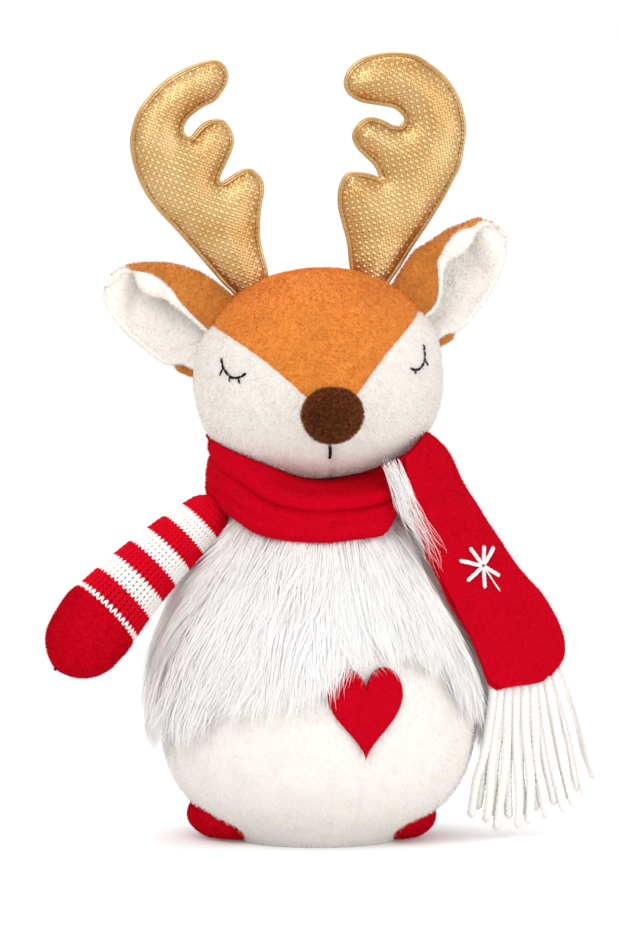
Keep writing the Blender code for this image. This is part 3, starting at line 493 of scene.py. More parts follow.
def gold_material():
    """Metallic leatherette: foil over embossing, with painted shade, darker and warmer, in the hollows and
    painted highlights on the studs.
    """
    made, tree, shader = new_material("gold_foil", {"Metallic": 0.85})
    stops = [(0.3, (0.60, 0.33, 0.11)), (0.55, (0.69, 0.44, 0.19)), (0.8, (0.76, 0.52, 0.25))]
    height = node(tree, "ShaderNodeAttribute", attribute_name="stamp")
    shaded = node(tree, "ShaderNodeVectorMath", operation="SCALE")
    tree.links.new(colour_ramp(tree, noise(tree, 45.0, 3.0, 0.5), stops), shaded.inputs[0])
    # The stamp attribute scales the foil's colour: painted shade in the emboss's hollows, painted highlights
    # on its studs.
    tree.links.new(mapped(tree, height.outputs["Fac"], 0.54, 1.26), shaded.inputs["Scale"])
    tree.links.new(shaded.outputs["Vector"], shader.inputs["Base Color"])
    tree.links.new(mapped(tree, noise(tree, 700.0, 3.0), 0.26, 0.46), shader.inputs["Roughness"])
    bump(tree, shader, noise(tree, 2600.0, 2.0), 0.12, 0.0003)
    return made


WHITE = (0.865, 0.83, 0.79)
ORANGE = (0.775, 0.285, 0.048)
RED = (0.60, 0.0015, 0.014)
BROWN = (0.15, 0.042, 0.011)
FUR_WHITE = (0.985, 0.975, 0.965)
YARN_WHITE = (0.90, 0.87, 0.84)

white_plush = plush_material("white_plush_nap", WHITE, 0.955, 1.03, 0.2)
orange_plush = plush_material("orange_plush_nap", ORANGE, 0.90, 1.08, 0.35, 50.0)
red_plush = plush_material("red_plush_nap", RED, 0.85, 1.1, 0.0, 150.0)
brown_plush = plush_material("brown_plush_nap", BROWN, 0.45, 1.8, 0.3, 420.0)
white_fibre = fibre_material("white_fibre", scaled(WHITE, 1.04), 0.04)
orange_fibre = fibre_material("orange_fibre", scaled(ORANGE, 1.06), 0.20, 420.0)
# The ear's back is the crown's orange plush, darkened here as painted shade, with its nap darkened the same
# way.
painted_shade_ear_plush = plush_material("ear_plush_nap", scaled(ORANGE, 0.80), 0.80, 1.18, 0.35, 50.0)
ear_fibre = fibre_material("ear_fibre", scaled(ORANGE, 0.84), 0.24, 420.0)
# The ear's lining is the cheeks' white plush, lightened here as painted light against the shade of its cup,
# with its nap lightened the same way.
painted_light_lining = plush_material("ear_lining_nap", scaled(WHITE, 1.10), 0.97, 1.02, 0.3)
painted_light_lining_fibre = fibre_material("ear_lining_fibre", scaled(WHITE, 1.12), 0.03)
brown_fibre = fibre_material("brown_fibre", scaled(BROWN, 1.35), 0.75, 520.0)
fur_fibre = fibre_material("fur_fibre", FUR_WHITE, 0.015, 60.0)
red_fleece = fleece_material("red_fleece_mat", scaled(RED, 0.93))
red_felt = fleece_material("red_felt_mat", scaled(RED, 0.90))
red_fibre = fibre_material("red_fibre", scaled(RED, 1.05), 0.1, 220.0, 0.02)
yarn_white = fibre_material("yarn_white", YARN_WHITE, 0.04, 600.0)
yarn_red = fibre_material("yarn_red", scaled(RED, 1.1), 0.15, 900.0, 0.03)
# Near-black copies of the knit yarns: painted shade for the gaps between the stitches.
yarn_white_deep = fibre_material("yarn_white_deep", scaled(YARN_WHITE, 0.22), 0.1, 900.0)
yarn_red_deep = fibre_material("yarn_red_deep", scaled(RED, 0.22), 0.2, 900.0, 0.02)
gold_foil = gold_material()
gold_thread = fibre_material("gold_thread", (0.50, 0.28, 0.08), 0.2, 700.0)
black_thread = fibre_material("black_thread_twist", (0.008, 0.007, 0.007), 0.2, 900.0, 0.06)


# Body: one skin of four gores, drawn in along the seams


def seam_pull(distance, depth, width):
    """How far cloth is drawn in at a distance from a seam."""
    return depth * np.exp(-((np.abs(distance) / width) ** 1.4))


def body_surface(angle, z, lift=0.0):
    """Points of the body in its own frame: the turned shape, its seams and the slack in its cloth."""
    radius = body_radius(z) + lift
    pull = np.zeros_like(angle)
    for k in range(4):
        away = (angle - k * math.pi / 2 + math.pi) % (2 * math.pi) - math.pi
        distance = away * radius
        gathers = 1.0 + 0.35 * np.sin(z * 0.9 + k) * np.sin(z * 0.37 + 2 * k)
        pull += seam_pull(distance, 1.0, 2.2) * gathers + seam_pull(distance, 0.9, 9.0)
    p = about_axis(angle, radius, z)
    soft = 0.9 * lattice_noise(p.reshape(-1, 3), 38.0, 3).reshape(angle.shape)
    soft += 0.35 * lattice_noise(p.reshape(-1, 3), 13.0, 4).reshape(angle.shape)
    low = np.clip((z - 2.0) / 14.0, 0.0, 1.0)
    radius = radius + (soft - pull - 0.4) * low
    return about_axis(angle, radius, z)


def make_body():
    columns = 400
    heights = np.concatenate([np.linspace(0.0, 12.0, 14), np.linspace(13.5, 179.0, 106)])
    angle, z = np.meshgrid(turns(columns), heights)
    points = body_surface(angle, z).reshape(-1, 3)
    faces = grid_faces(len(heights), columns, ring_closed=True)
    top = len(points)
    points = np.vstack([points, [[0.0, 0.0, 179.0]]])
    cap = [[top - columns + i, top - columns + (i + 1) % columns, top, top] for i in range(columns)]
    tri = np.concatenate([triangles_of(faces), np.array(cap)[:, :3]])
    skin = add_mesh("body_skin", points, tri, white_plush, BODY)
    outward(skin)
    finish_piece(
        skin, "torso", "white_plush", "body_front_left", "body_front_right", "body_back_left",
        "body_back_right", "body_stuffing", "pellet_bag",
    )
    nap("body_nap", skin, white_fibre, 64000, 1.5, 0.26, (0, 0, -0.5), 5, below_hem)


def below_hem(at):
    """Whether each point is on the short-pile part of the body, under the long pile's roots."""
    local = in_body_frame(at)
    hem = fur_hem(np.arctan2(local[:, 0], -local[:, 1]))
    return at[:, 2] < hem + 26.0


def finish_base():
    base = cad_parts["base_panel"]
    base.data.materials.clear()
    base.data.materials.append(white_plush)


# Long pile: locks of hair that flow down from the neck

FUR_BANDS = [  # piece, first and last angle from the front seam
    ("fur_front_right", -75.0, -8.0),
    ("fur_front_left", -8.0, 75.0),
    ("fur_side_left", 75.0, 150.0),
    ("fur_back", 150.0, 212.0),
    ("fur_side_right", 212.0, 285.0),
]
LOCKS_PER_DEGREE = 2.9
HAIRS_PER_LOCK = 76
HAIR_W = 0.42
HAIR_STEPS = 6


def body_normal_slope(z):
    """Outward and upward share of the body's surface normal at a height."""
    rise = (body_radius(z + 1.0) - body_radius(z - 1.0)) / 2.0
    size = np.sqrt(1.0 + rise**2)
    return 1.0 / size, -rise / size


def on_body(angle, z, lift):
    out, up = body_normal_slope(z)
    return about_axis(angle, body_radius(z) + lift * out, z + lift * up)


def lock_paths(low, high, rng):
    """The middle line of each lock in a band of the body: angle, height and lift at each step."""
    count = int((high - low) * LOCKS_PER_DEGREE)
    angle = np.radians(rng.uniform(low, high, count))
    hem = fur_hem(angle)
    lowest = hem + 24.0
    share = rng.random(count) ** 0.8
    root = FUR_TOP - share * (FUR_TOP - lowest)
    length = (29.0 + 17.0 * share) * rng.uniform(0.78, 1.16, count)
    wisp = rng.random(count) < 0.10
    length = np.where(wisp, length * 1.22, length)
    length = np.minimum(length, root - hem + rng.uniform(0.0, 9.0, count) + 3.0 * wisp)
    t = np.linspace(0.0, 1.0, HAIR_STEPS)[None, :]
    side = np.sin(angle)[:, None]
    place = about_axis(angle, 70, root)
    sweep = 0.30 * side + 0.26 * lattice_noise(place, 26.0, 9)[:, None]
    sweep = sweep + rng.normal(scale=0.11, size=(count, 1))
    curl = rng.normal(scale=0.10, size=(count, 1))
    across = length[:, None] * (sweep * t + curl * np.sin(math.pi * t) * t)
    down = length[:, None] * t * np.sqrt(np.clip(1.0 - sweep**2, 0.3, 1.0))
    z = root[:, None] - down
    lift = 1.0 + (3.0 + 3.0 * share + 4.5 * wisp)[:, None] * t**0.8 * rng.uniform(0.8, 1.15, (count, 1))
    lift += 1.6 * np.sin(math.pi * t) * rng.uniform(0.3, 1.0, (count, 1))
    at = angle[:, None] + across / body_radius(np.clip(z, 5.0, 186.0))
    hairs = np.where(wisp, HAIRS_PER_LOCK // 2, HAIRS_PER_LOCK)
    return at, z, lift, hairs


def ribbon_mesh(name, paths, widths, surface, place):
    """Tapered ribbons along paths (count, steps, 3) in millimetres, most of them facing out from the body."""
    count, steps, _ = paths.shape
    rng = np.random.default_rng(SEED + count)
    ahead = np.gradient(paths, axis=1)
    facing = unit(paths * [1.0, 1.0, 0.0])
    side = unit(np.cross(ahead, facing + rng.normal(scale=0.25, size=(count, 1, 3))))
    taper = (1.0 - np.linspace(0.0, 1.0, steps) ** 2.2 * 0.86)[None, :, None]
    half = side * taper * (np.asarray(widths) / 2).reshape(-1, 1, 1)
    points = np.stack([paths - half, paths + half], 2)
    points = points[:, :-1].reshape(count, -1, 3)
    points = np.concatenate([points, paths[:, -1:]], 1)
    per = points.shape[1]
    tri = []
    for i in range(steps - 2):
        a = 2 * i
        tri += [[a, a + 1, a + 3], [a, a + 3, a + 2]]
    last = 2 * (steps - 2)
    tri.append([last, last + 1, per - 1])
    faces = (np.arange(count)[:, None, None] * per + np.array(tri)[None]).reshape(-1, 3)
    return add_mesh(name, points.reshape(-1, 3), faces, surface, place)


CELL = 3.0  # millimetres, of the coarse grid that keeps the pile out of the scarf


def cells_near(obj):
    """Cells of a coarse grid, in the body's frame, that a piece fills or touches."""
    points = in_body_frame(np.array([v.co for v in obj.data.vertices]) / MM)
    cell = np.floor(points / CELL).astype(int)
    found = set()
    for step in np.ndindex(3, 3, 3):
        found.update(map(tuple, np.unique(cell + np.array(step) - 1, axis=0)))
    return found


def crosses(paths, cells):
    """Whether each path has a point in one of the cells."""
    code = np.array([1, 1000, 1000000])
    taken = np.array(sorted(int(np.dot(np.array(c) + 300, code)) for c in cells))
    own = (np.floor(paths / CELL).astype(int) + 300) @ code
    return np.isin(own, taken).any(axis=1)


def make_fur(cloth):
    for index, (name, low, high) in enumerate(FUR_BANDS):
        rng = np.random.default_rng(SEED + 50 + index)
        at, z, lift, hairs = lock_paths(low, high, rng)
        which = np.repeat(np.arange(len(hairs)), hairs)
        count = len(which)
        t = np.linspace(0.0, 1.0, HAIR_STEPS)[None, :]
        spread = rng.normal(size=(count, 3)) * np.array([4.4, 4.2, 0.6])
        gather = 1.0 - 0.55 * t**1.3
        stray = rng.normal(size=(count, 2, 1)) * np.array([[0.9], [0.8]]) * t[:, None, :] ** 2
        short = rng.uniform(0.62, 1.04, (count, 1))
        steps = np.linspace(0.0, 1.0, HAIR_STEPS)[None, :] * short * (HAIR_STEPS - 1)
        low_step = np.clip(np.floor(steps).astype(int), 0, HAIR_STEPS - 2)
        part = steps - low_step

        def read(table):
            rows = table[which]
            a = np.take_along_axis(rows, low_step, 1)
            b = np.take_along_axis(rows, low_step + 1, 1)
            return a + (b - a) * part

        angle = read(at) + (spread[:, :1] * gather + stray[:, 0]) / 72.0
        height = read(z) + spread[:, 1:2] * gather
        stand = np.maximum(read(lift) + spread[:, 2:3] * t + stray[:, 1], 0.4)
        paths = on_body(angle, np.clip(height, 4.0, 186.0), stand)
        roots = paths[:, 0]
        near_arm = [np.linalg.norm(roots - pivot_of(side), axis=1) < 15.5 for side in SIDES]
        paths = paths[~near_arm[0] & ~near_arm[1] & (roots[:, 2] < 178.0)]
        paths = paths[~crosses(paths, cloth)]
        widths = HAIR_W * rng.uniform(0.7, 1.2, len(paths))
        fur = ribbon_mesh(name, paths, widths, fur_fibre, BODY)
        finish_piece(fur, "torso", "long_pile", *(["fur_yoke"] if index == 0 else []))


def make_fur_backing():
    """The woven ground that the pile grows from, seen only between the locks."""
    columns, rows = 144, 22
    angle = turns(columns)
    share = np.linspace(0.0, 1.0, rows)[:, None]
    z = FUR_TOP + (fur_hem(angle)[None, :] + 24.0 - FUR_TOP) * share
    angle = np.broadcast_to(angle, z.shape)
    sides = [on_body(angle, z, np.full(z.shape, lift)).reshape(-1, 3) for lift in (1.5, 0.5)]
    backing = outward(add_mesh("fur_backing", *double_tube(*sides, rows, columns), white_plush, BODY))
    finish_piece(backing, "torso", "long_pile")


# Head: four plush panels sewn together, each drawn in along its seams


def head_displaced(p):
    """Moves points of the head's surface in along the seams and lets the stuffing show a little."""
    x, y, z = p[:, 0], p[:, 1], p[:, 2]
    run = np.array([BLAZE_HIGH[0] - BLAZE_LOW[0], BLAZE_HIGH[1] - BLAZE_LOW[1]])
    up = np.array([-run[1], run[0]]) / np.linalg.norm(run)
    blaze = (np.abs(x) - BLAZE_LOW[0]) * up[0] + (z - bow(x) - BLAZE_LOW[1]) * up[1]
    before = y < SIDE_SEAM_Y
    pull = np.where(before, seam_pull(blaze, 0.7, 1.5) + seam_pull(blaze, 0.5, 6.0), 0.0)
    below = before & (blaze < 0)
    side = seam_pull(y - SIDE_SEAM_Y, 0.8, 1.6) + seam_pull(y - SIDE_SEAM_Y, 0.5, 6.0)
    pull += np.where((blaze < 0) | (y >= SIDE_SEAM_Y), side, 0.0)
    middle = seam_pull(x, 0.55, 1.3) + seam_pull(x, 0.4, 6.0)
    dimple = 0.5 * hump(z - 27.0, 9.0)
    pull += np.where(below, middle * 1.1, seam_pull(x, 1.0, 7.0) * dimple)
    soft = 0.8 * lattice_noise(p, 30.0, 21) + 0.3 * lattice_noise(p, 11.0, 22)
    return p + unit(p) * (soft - pull)[:, None]


def keep_side(bm, at, normal):
    geometry = bm.verts[:] + bm.edges[:] + bm.faces[:]
    bmesh.ops.bisect_plane(bm, geom=geometry, plane_co=at, plane_no=normal, clear_inner=True, dist=0.001)


def bend_blaze(bm, way):
    for v in bm.verts:
        v.co.z -= way * float(bow(v.co.x))


def blaze_plane(sign):
    run = Vector((BLAZE_HIGH[0] - BLAZE_LOW[0], 0.0, BLAZE_HIGH[1] - BLAZE_LOW[1]))
    return Vector((BLAZE_LOW[0] * sign, 0.0, BLAZE_LOW[1])), Vector((-run.z * sign, 0.0, run.x)).normalized()


def head_cage(columns=260, rows=150):
    points = head_points(globe(columns, rows).reshape(-1, 3))
    faces = grid_faces(rows, columns, ring_closed=True)
    mesh = bpy.data.meshes.new("head_cage")
    mesh.from_pydata([tuple(p) for p in points], [], faces.tolist())
    bm = bmesh.new()
    bm.from_mesh(mesh)
    bpy.data.meshes.remove(mesh)
    bmesh.ops.remove_doubles(bm, verts=bm.verts, dist=0.01)
    return bm


def points_and_faces(bm):
    """What is left of the head's shape, pulled in along its seams."""
    bm.verts.index_update()
    points = head_displaced(np.array([v.co for v in bm.verts]))
    faces = [[v.index for v in f.verts] for f in bm.faces]
    bm.free()
    return points, faces


def thicken(obj, thickness):
    """Gives a skin the cloth's thickness, inwards."""
    cloth = obj.modifiers.new("Cloth", "SOLIDIFY")
    cloth.thickness = thickness * MM
    cloth.offset = -1.0


def panel_from(bm, name, surface):
    obj = outward(add_mesh(name, *points_and_faces(bm), surface, HEAD))
    thicken(obj, 1.0)
    uses = np.zeros(len(obj.data.edges), int)
    for loop in obj.data.loops:
        uses[loop.edge_index] += 1
    for edge, count in zip(obj.data.edges, uses):
        edge.use_edge_sharp = bool(count == 1)
    return obj


def half_cage(sign, blaze=None):
    """The head on one side of its middle, and on one side of the blaze's edge if that is given."""
    cage = head_cage()
    if blaze:
        bend_blaze(cage, 1.0)
    keep_side(cage, Vector((0.0, 0.0, 0.0)), Vector((sign, 0.0, 0.0)))
    if blaze:
        keep_side(cage, *blaze)
        bend_blaze(cage, -1.0)
    return cage


def make_head():
    side_seam = Vector((0.0, SIDE_SEAM_Y, 0.0))
    ahead = Vector((0.0, -1.0, 0.0))
    neck = Vector((0.0, 0.0, NECK_Z)), Vector((0.0, 0.0, 1.0))
    for side, sign in SIDES.items():
        low, up = blaze_plane(sign)
        cheek = half_cage(sign, (low, -up))
        keep_side(cheek, side_seam, ahead)
        keep_side(cheek, *neck)
        crown = half_cage(sign, (low, up))
        keep_side(crown, side_seam, ahead)
        back = half_cage(sign)
        keep_side(back, side_seam, -ahead)
        keep_side(back, *neck)
        join = bpy.data.meshes.new("crown_back")
        back.to_mesh(join)
        back.free()
        crown.from_mesh(join)
        bpy.data.meshes.remove(join)
        bmesh.ops.remove_doubles(crown, verts=crown.verts, dist=0.02)
        filled = ["head_stuffing"] if side == "right" else []
        for part, cage, slot, plush, fibre, count, width, seed, nodes in (
            ("cheek", cheek, "white_plush", white_plush, white_fibre, 24000, 0.24, 11, []),
            ("crown", crown, "orange_plush", orange_plush, orange_fibre, 46000, 0.26, 12, filled),
        ):
            piece = panel_from(cage, f"{side}_{part}_plush", plush)
            finish_piece(piece, "torso", slot, f"{side}_{part}", *nodes)
            nap(f"{side}_{part}_nap", piece, fibre, count, 1.25, width, (0, 0, -0.4), seed)


def head_tree():
    """The head's finished surface, to lay thread and the nose on, in world millimetres."""
    points, faces = points_and_faces(head_cage(160, 90))
    return BVHTree.FromPolygons([Vector(p) for p in placed(points, HEAD)], faces)


def on_face(tree, x, z, lift):
    """The point of the face at x and z in the head's frame, lifted off its surface."""
    start = HEAD @ Vector((x, -130.0, z))
    way = (HEAD.to_3x3() @ Vector((0.0, 1.0, 0.0))).normalized()
    hit, normal, _, _ = tree.ray_cast(start, way)
    return hit + normal * (lift if normal.dot(way) < 0 else -lift)


def make_nose():
    columns, rows = 72, 40
    middle = np.array(NOSE_AT)
    p = globe(columns, rows).reshape(-1, 3)
    p /= (np.abs(p) ** NOSE_POWER).sum(1, keepdims=True) ** (1 / NOSE_POWER)
    p[:, 0] *= 1.0 - 0.14 * np.clip(-p[:, 2], 0.0, 1.0)
    p = p * NOSE_R + middle
    p += 0.35 * lattice_noise(p, 6.0, 31)[:, None] * (p - middle) / 12.0
    nose = outward(add_mesh("nose_plush", p, grid_faces(rows, columns, ring_closed=True), brown_plush, HEAD))
    finish_piece(nose, "torso", "brown_plush", "nose")
    nap("nose_nap", nose, brown_fibre, 11000, 2.6, 0.30, (0, 0, 0), 14)


# Thread


def tube_mesh(path, radius, sides=8, lobes=0, lobe_depth=0.0, twist=0.0, phase=0.0, rounded=False):
    """Points and quads of a tube along a path, with plies that twist round it if it has lobes."""
    path = np.asarray(path, float)
    count = len(path)
    ahead = unit(np.gradient(path, axis=0))
    guide = np.array([0.0, 1.0, 0.0]) if abs(ahead[0][1]) < 0.8 else np.array([1.0, 0.0, 0.0])
    across = np.zeros_like(path)
    for i in range(count):
        across[i] = guide - ahead[i] * np.dot(guide, ahead[i])
        across[i] /= np.linalg.norm(across[i])
        guide = across[i]
    up = np.cross(ahead, across)
    along = distance_along(path)
    turn = turns(sides)[None, :]
    size = np.full((count, sides), 1.0)
    if lobes:
        spin = twist * along[:, None] + phase
        size = 1.0 - lobe_depth * (0.5 - 0.5 * np.cos(lobes * (turn - spin)))
    r = np.broadcast_to(np.asarray(radius, float).reshape(-1, 1), (count, 1)) * size
    if rounded:
        end = np.clip(np.minimum(along, along[-1] - along) / (np.max(radius) * 0.9), 0.0, 1.0)
        r = r * np.sqrt(np.clip(1.0 - (1.0 - end) ** 2, 0.06, 1.0))[:, None]
    ring = across[:, None] * (np.cos(turn) * r)[..., None] + up[:, None] * (np.sin(turn) * r)[..., None]
    ring += path[:, None]
    return ring.reshape(-1, 3), grid_faces(count, sides, ring_closed=True)


def merged(parts):
    """One set of points and quads from several."""
    points, faces, total = [], [], 0
    for p, f in parts:
        points.append(p)
        faces.append(np.asarray(f) + total)
        total += len(p)
    return np.vstack(points), np.vstack(faces)


def capped(part):
    """The tube with a quad fan at each end."""
    points, faces = part
    sides = int(faces[0][3] - faces[0][0])
    first = np.arange(sides)
    last = len(points) - sides + first
    middle_a, middle_b = points[first].mean(0), points[last].mean(0)
    points = np.vstack([points, [middle_a, middle_b]])
    a, b = len(points) - 2, len(points) - 1
    following = (np.arange(sides) + 1) % sides
    cap_a = np.stack([np.full(sides, a), first[following], first, np.full(sides, a)], 1)
    cap_b = np.stack([np.full(sides, b), last, last[following], np.full(sides, b)], 1)
    return points, np.vstack([faces, cap_a, cap_b])


def quads_to_triangles(part):
    points, faces = part
    tri = triangles_of(faces)
    good = (tri[:, 0] != tri[:, 1]) & (tri[:, 1] != tri[:, 2]) & (tri[:, 0] != tri[:, 2])
    return points, tri[good]


def stitched_line(tree, points, radius, stitch=3.2):
    """Back stitches along a line on the face: short thread tubes end to end, each dipping into the cloth."""
    line = smooth_line(points, 10) if len(points) > 2 else np.linspace(points[0], points[1], 12)
    steps = distance_along(line)
    count = max(1, round(steps[-1] / stitch))
    parts = []
    for k in range(count):
        along = np.linspace(k, k + 1.0, 9) / count * steps[-1]
        dip = -0.12 + 0.72 * np.sin(math.pi * np.linspace(0.04, 0.96, 9))
        path = []
        for s, d in zip(along, dip):
            x, z = np.interp(s, steps, line[:, 0]), np.interp(s, steps, line[:, 1])
            path.append(on_face(tree, x, z, d))
        parts.append(capped(tube_mesh(path, radius, 8, 2, 0.22, 2.4, k, rounded=True)))
    return parts


EYE_THREAD = 0.74
EYES = {
    "right": {
        "lid": [(-50.5, 13.6), (-50.1, 8.9), (-47.7, 5.1), (-45.1, 4.2), (-41.8, 5.3), (-40.3, 6.8)],
        "lashes": [[(-50.1, 8.9), (-52.2, 4.8)], [(-47.8, 4.6), (-47.9, 2.1)], [(-43.7, 4.2), (-43.5, 1.3)]],
    },
    "left": {
        "lid": [(41.8, 3.1), (42.8, 2.2), (45.0, 1.6), (47.3, 2.1), (50.0, 5.6), (50.3, 12.8)],
        "lashes": [[(50.0, 5.6), (52.0, 2.2)], [(44.4, 1.2), (44.3, -0.3)]],
    },
}
MOUTH = [(-2.0, -30.2), (-1.6, -35.0), (-1.6, -39.2)]


def make_face(tree):
    for side, eye in EYES.items():
        parts = stitched_line(tree, eye["lid"], EYE_THREAD)
        for lash in eye["lashes"]:
            parts += stitched_line(tree, lash, EYE_THREAD * 0.72, 6.0)
        piece = add_mesh(f"{side}_eye_thread", *quads_to_triangles(merged(parts)), black_thread)
        finish_piece(piece, "torso", "black_thread", f"{side}_eye")
    parts = stitched_line(tree, MOUTH, 0.95, 11.0)
    mouth = add_mesh("mouth_thread", *quads_to_triangles(merged(parts)), black_thread)
    finish_piece(mouth, "torso", "black_thread", "mouth")


# Heart and feet


def heart_edge(count):
    turn = turns(count)
    x = np.sin(turn) ** 3
    z = 13 * np.cos(turn) - 5 * np.cos(2 * turn) - 2 * np.cos(3 * turn) - np.cos(4 * turn)
    x *= HEART_W / np.ptp(x)
    z = (z - (z.min() + z.max()) / 2) * HEART_H / np.ptp(z)
    return np.stack([x, z], 1)


def inward_of(edge):
    """Unit normals of a closed outline that point into it."""
    ahead = np.roll(edge, -1, axis=0) - np.roll(edge, 1, axis=0)
    area = 0.5 * np.sum(edge[:, 0] * np.roll(edge[:, 1], -1) - np.roll(edge[:, 0], -1) * edge[:, 1])
    return np.stack([-ahead[:, 1], ahead[:, 0]], 1) / np.linalg.norm(ahead, axis=1)[:, None] * np.sign(area)


def distance_to_edge(points, edge):
    """Distance of each point from a closed outline."""
    a, b = edge, np.roll(edge, -1, axis=0)
    run = b - a
    size = np.maximum((run**2).sum(1), 1e-9)
    nearest = np.full(len(points), 1e9)
    for start in range(0, len(points), 4000):
        p = points[start : start + 4000]
        t = np.clip(((p[:, None] - a) * run).sum(2) / size, 0.0, 1.0)
        near = np.linalg.norm(a + run * t[..., None] - p[:, None], axis=2).min(1)
        nearest[start : start + 4000] = near
    return nearest


def inside_edge(points, edge):
    found = np.zeros(len(points), bool)
    for (ax, az), (bx, bz) in zip(edge, np.roll(edge, -1, axis=0)):
        crosses = (az > points[:, 1]) != (bz > points[:, 1])
        with np.errstate(divide="ignore", invalid="ignore"):
            at = (bx - ax) * (points[:, 1] - az) / (bz - az) + ax
        found ^= crosses & (points[:, 0] < at)
    return found


def fill_edge(edge, pitch, rings):
    """Points and triangles that fill an outline with an even grid, with extra rows near the edge."""
    low, high = edge.min(0), edge.max(0)
    x, z = np.meshgrid(np.arange(low[0], high[0], pitch), np.arange(low[1], high[1], pitch))
    grid = np.stack([x.ravel(), z.ravel()], 1)
    grid = grid[inside_edge(grid, edge)]
    away = distance_to_edge(grid, edge)
    grid = grid[away > max([pitch * 0.5] + [r + pitch * 0.4 for r in rings])]
    extra = []
    for r in rings:
        row = edge + inward_of(edge) * r
        good = inside_edge(row, edge) & (distance_to_edge(row, edge) > r * 0.93)
        extra.append(row[good])
    points = np.vstack([edge, *extra, grid])
    ring = [(i, (i + 1) % len(edge)) for i in range(len(edge))]
    flat, _, triangles, *_ = delaunay_2d_cdt([Vector(p) for p in points], ring, [], 1, 1e-6)
    return np.array([(p.x, p.y) for p in flat]), np.array([list(t) for t in triangles])


def rim_edges(triangles):
    seen = set()
    for a, b, c in triangles.tolist():
        seen.update(((a, b), (b, c), (c, a)))
    return [(a, b) for a, b in seen if (b, a) not in seen]


def closed_sheet(front, back, triangles):
    """Points and triangles of a sheet with a front, a back and a rim."""
    count = len(front)
    rim = rim_edges(triangles)
    sides = []
    for a, b in rim:
        sides += [[b, a, a + count], [b, a + count, b + count]]
    faces = np.vstack([triangles, triangles[:, ::-1] + count, np.array(sides)])
    return np.vstack([front, back]), faces


def make_heart():
    """Felt with a soft, slightly lifted cut edge, sewn down a little inside it."""
    edge = heart_edge(260)
    flat, triangles = fill_edge(edge, 0.9, (0.35, 0.8))
    away = distance_to_edge(flat, edge)
    z = HEART_AT[1] + flat[:, 1]
    radius = body_radius(z)
    angle = math.radians(HEART_AT[0]) + flat[:, 0] / radius
    place = np.stack([flat[:, 0], np.zeros(len(flat)), z], 1)
    thick = FELT * np.sqrt(np.clip(1.0 - (1.0 - np.clip(away / 0.7, 0.0, 1.0)) ** 2, 0.05, 1.0))
    puff = 1.5 * (1.0 - np.exp(-away / 4.0))
    puff += 0.35 * lattice_noise(place, 7.0, 41) + 0.5 * lattice_noise(place, 17.0, 42)
    top = about_axis(angle, radius + 0.55 + thick + puff * np.clip(away / 2.0, 0.0, 1.0), z)
    points, faces = closed_sheet(top, about_axis(angle, radius + 0.25, z), triangles)
    heart = outward(add_mesh("heart_felt", points, faces, red_felt, BODY))
    finish_piece(heart, "torso", "red_felt", "heart_patch")
    nap("heart_fuzz", heart, red_fibre, 7000, 0.75, 0.16, (0, 0, 0), 15)


def make_feet():
    """Low stuffed pads, tucked in where they meet the body and flat beneath."""
    columns, rows = 120, 60
    for side in SIDES:
        middle = np.array(FOOT_AT[side])
        p = globe(columns, rows).reshape(-1, 3) * (np.array(FOOT_R) - 1.1) + middle
        p += (0.6 * lattice_noise(p, 12.0, 51))[:, None] * (p - middle) / 30.0
        p[:, 2] = np.maximum(p[:, 2], 1.0 + 0.25 * lattice_noise(p, 6.0, 52))
        faces = grid_faces(rows, columns, ring_closed=True)
        foot = outward(add_mesh(f"{side}_foot_plush", p, faces, red_plush, BODY))
        finish_piece(foot, "torso", "red_plush", f"{side}_foot")

        def shown(at):
            local = in_body_frame(at)
            return (np.hypot(local[:, 0], local[:, 1]) > body_radius(at[:, 2]) - 0.4) & (at[:, 2] > 1.4)

        nap(f"{side}_foot_nap", foot, red_fibre, 26000, 1.1, 0.24, (0, 0, -0.3), 16, shown)


# Arms


def pivot_of(side):
    x, y, z = PIVOT[side]
    return np.array([SIDES[side] * x, y, z])


def arm_axes(side):
    """Axes of an arm in the body's frame: along it, out of the plane it is raised in, and its lower side."""
    sign = SIDES[side]
    slope = math.radians(ARM_SLOPE[side])
    ahead = np.array([sign * math.cos(slope), 0.0, -math.sin(slope)])
    across = np.array([0.0, 1.0, 0.0])
    return ahead, across, np.cross(ahead, across) * -sign


def cover_radius(p):
    """Radius of the body and its fur's bed at each point of the body's frame."""
    hem = fur_hem(np.arctan2(p[:, 0], -p[:, 1]))
    down = np.clip((163.0 - p[:, 2]) / (163.0 - hem), 0.0, 1.0)
    bed = np.where((p[:, 2] >= hem) & (p[:, 2] <= 163.0), 2.6 + 7.4 * down**1.6, 0.0)
    return body_radius(np.clip(p[:, 2], 0.0, 187.0)) + bed


def arm_points(side, s, turn, radius):
    """Points round an arm, from arrays of the place along it, the turn and the radius."""
    ahead, across, under = arm_axes(side)
    pivot = pivot_of(side)
    s, turn, radius = (np.asarray(a, float).ravel() for a in (s, turn, radius))
    rise = ARM_BOW[side] * np.sin(math.pi * np.clip((s + 15.0) / 90.0, 0.0, 1.0))
    at = pivot + ahead * s[:, None] - under * rise[:, None]
    at = at + across * (np.cos(turn) * radius)[:, None] + under * (np.sin(turn) * radius)[:, None]
    reach = np.hypot(at[:, 0], at[:, 1])
    wall = cover_radius(at) + 2.3
    free = np.linalg.norm(at - pivot, axis=1) > 13.3
    push = np.where(free & (reach < wall) & (s > -1.0), wall / np.maximum(reach, 1e-6), 1.0)
    at[:, 0] *= push
    at[:, 1] *= push
    return at


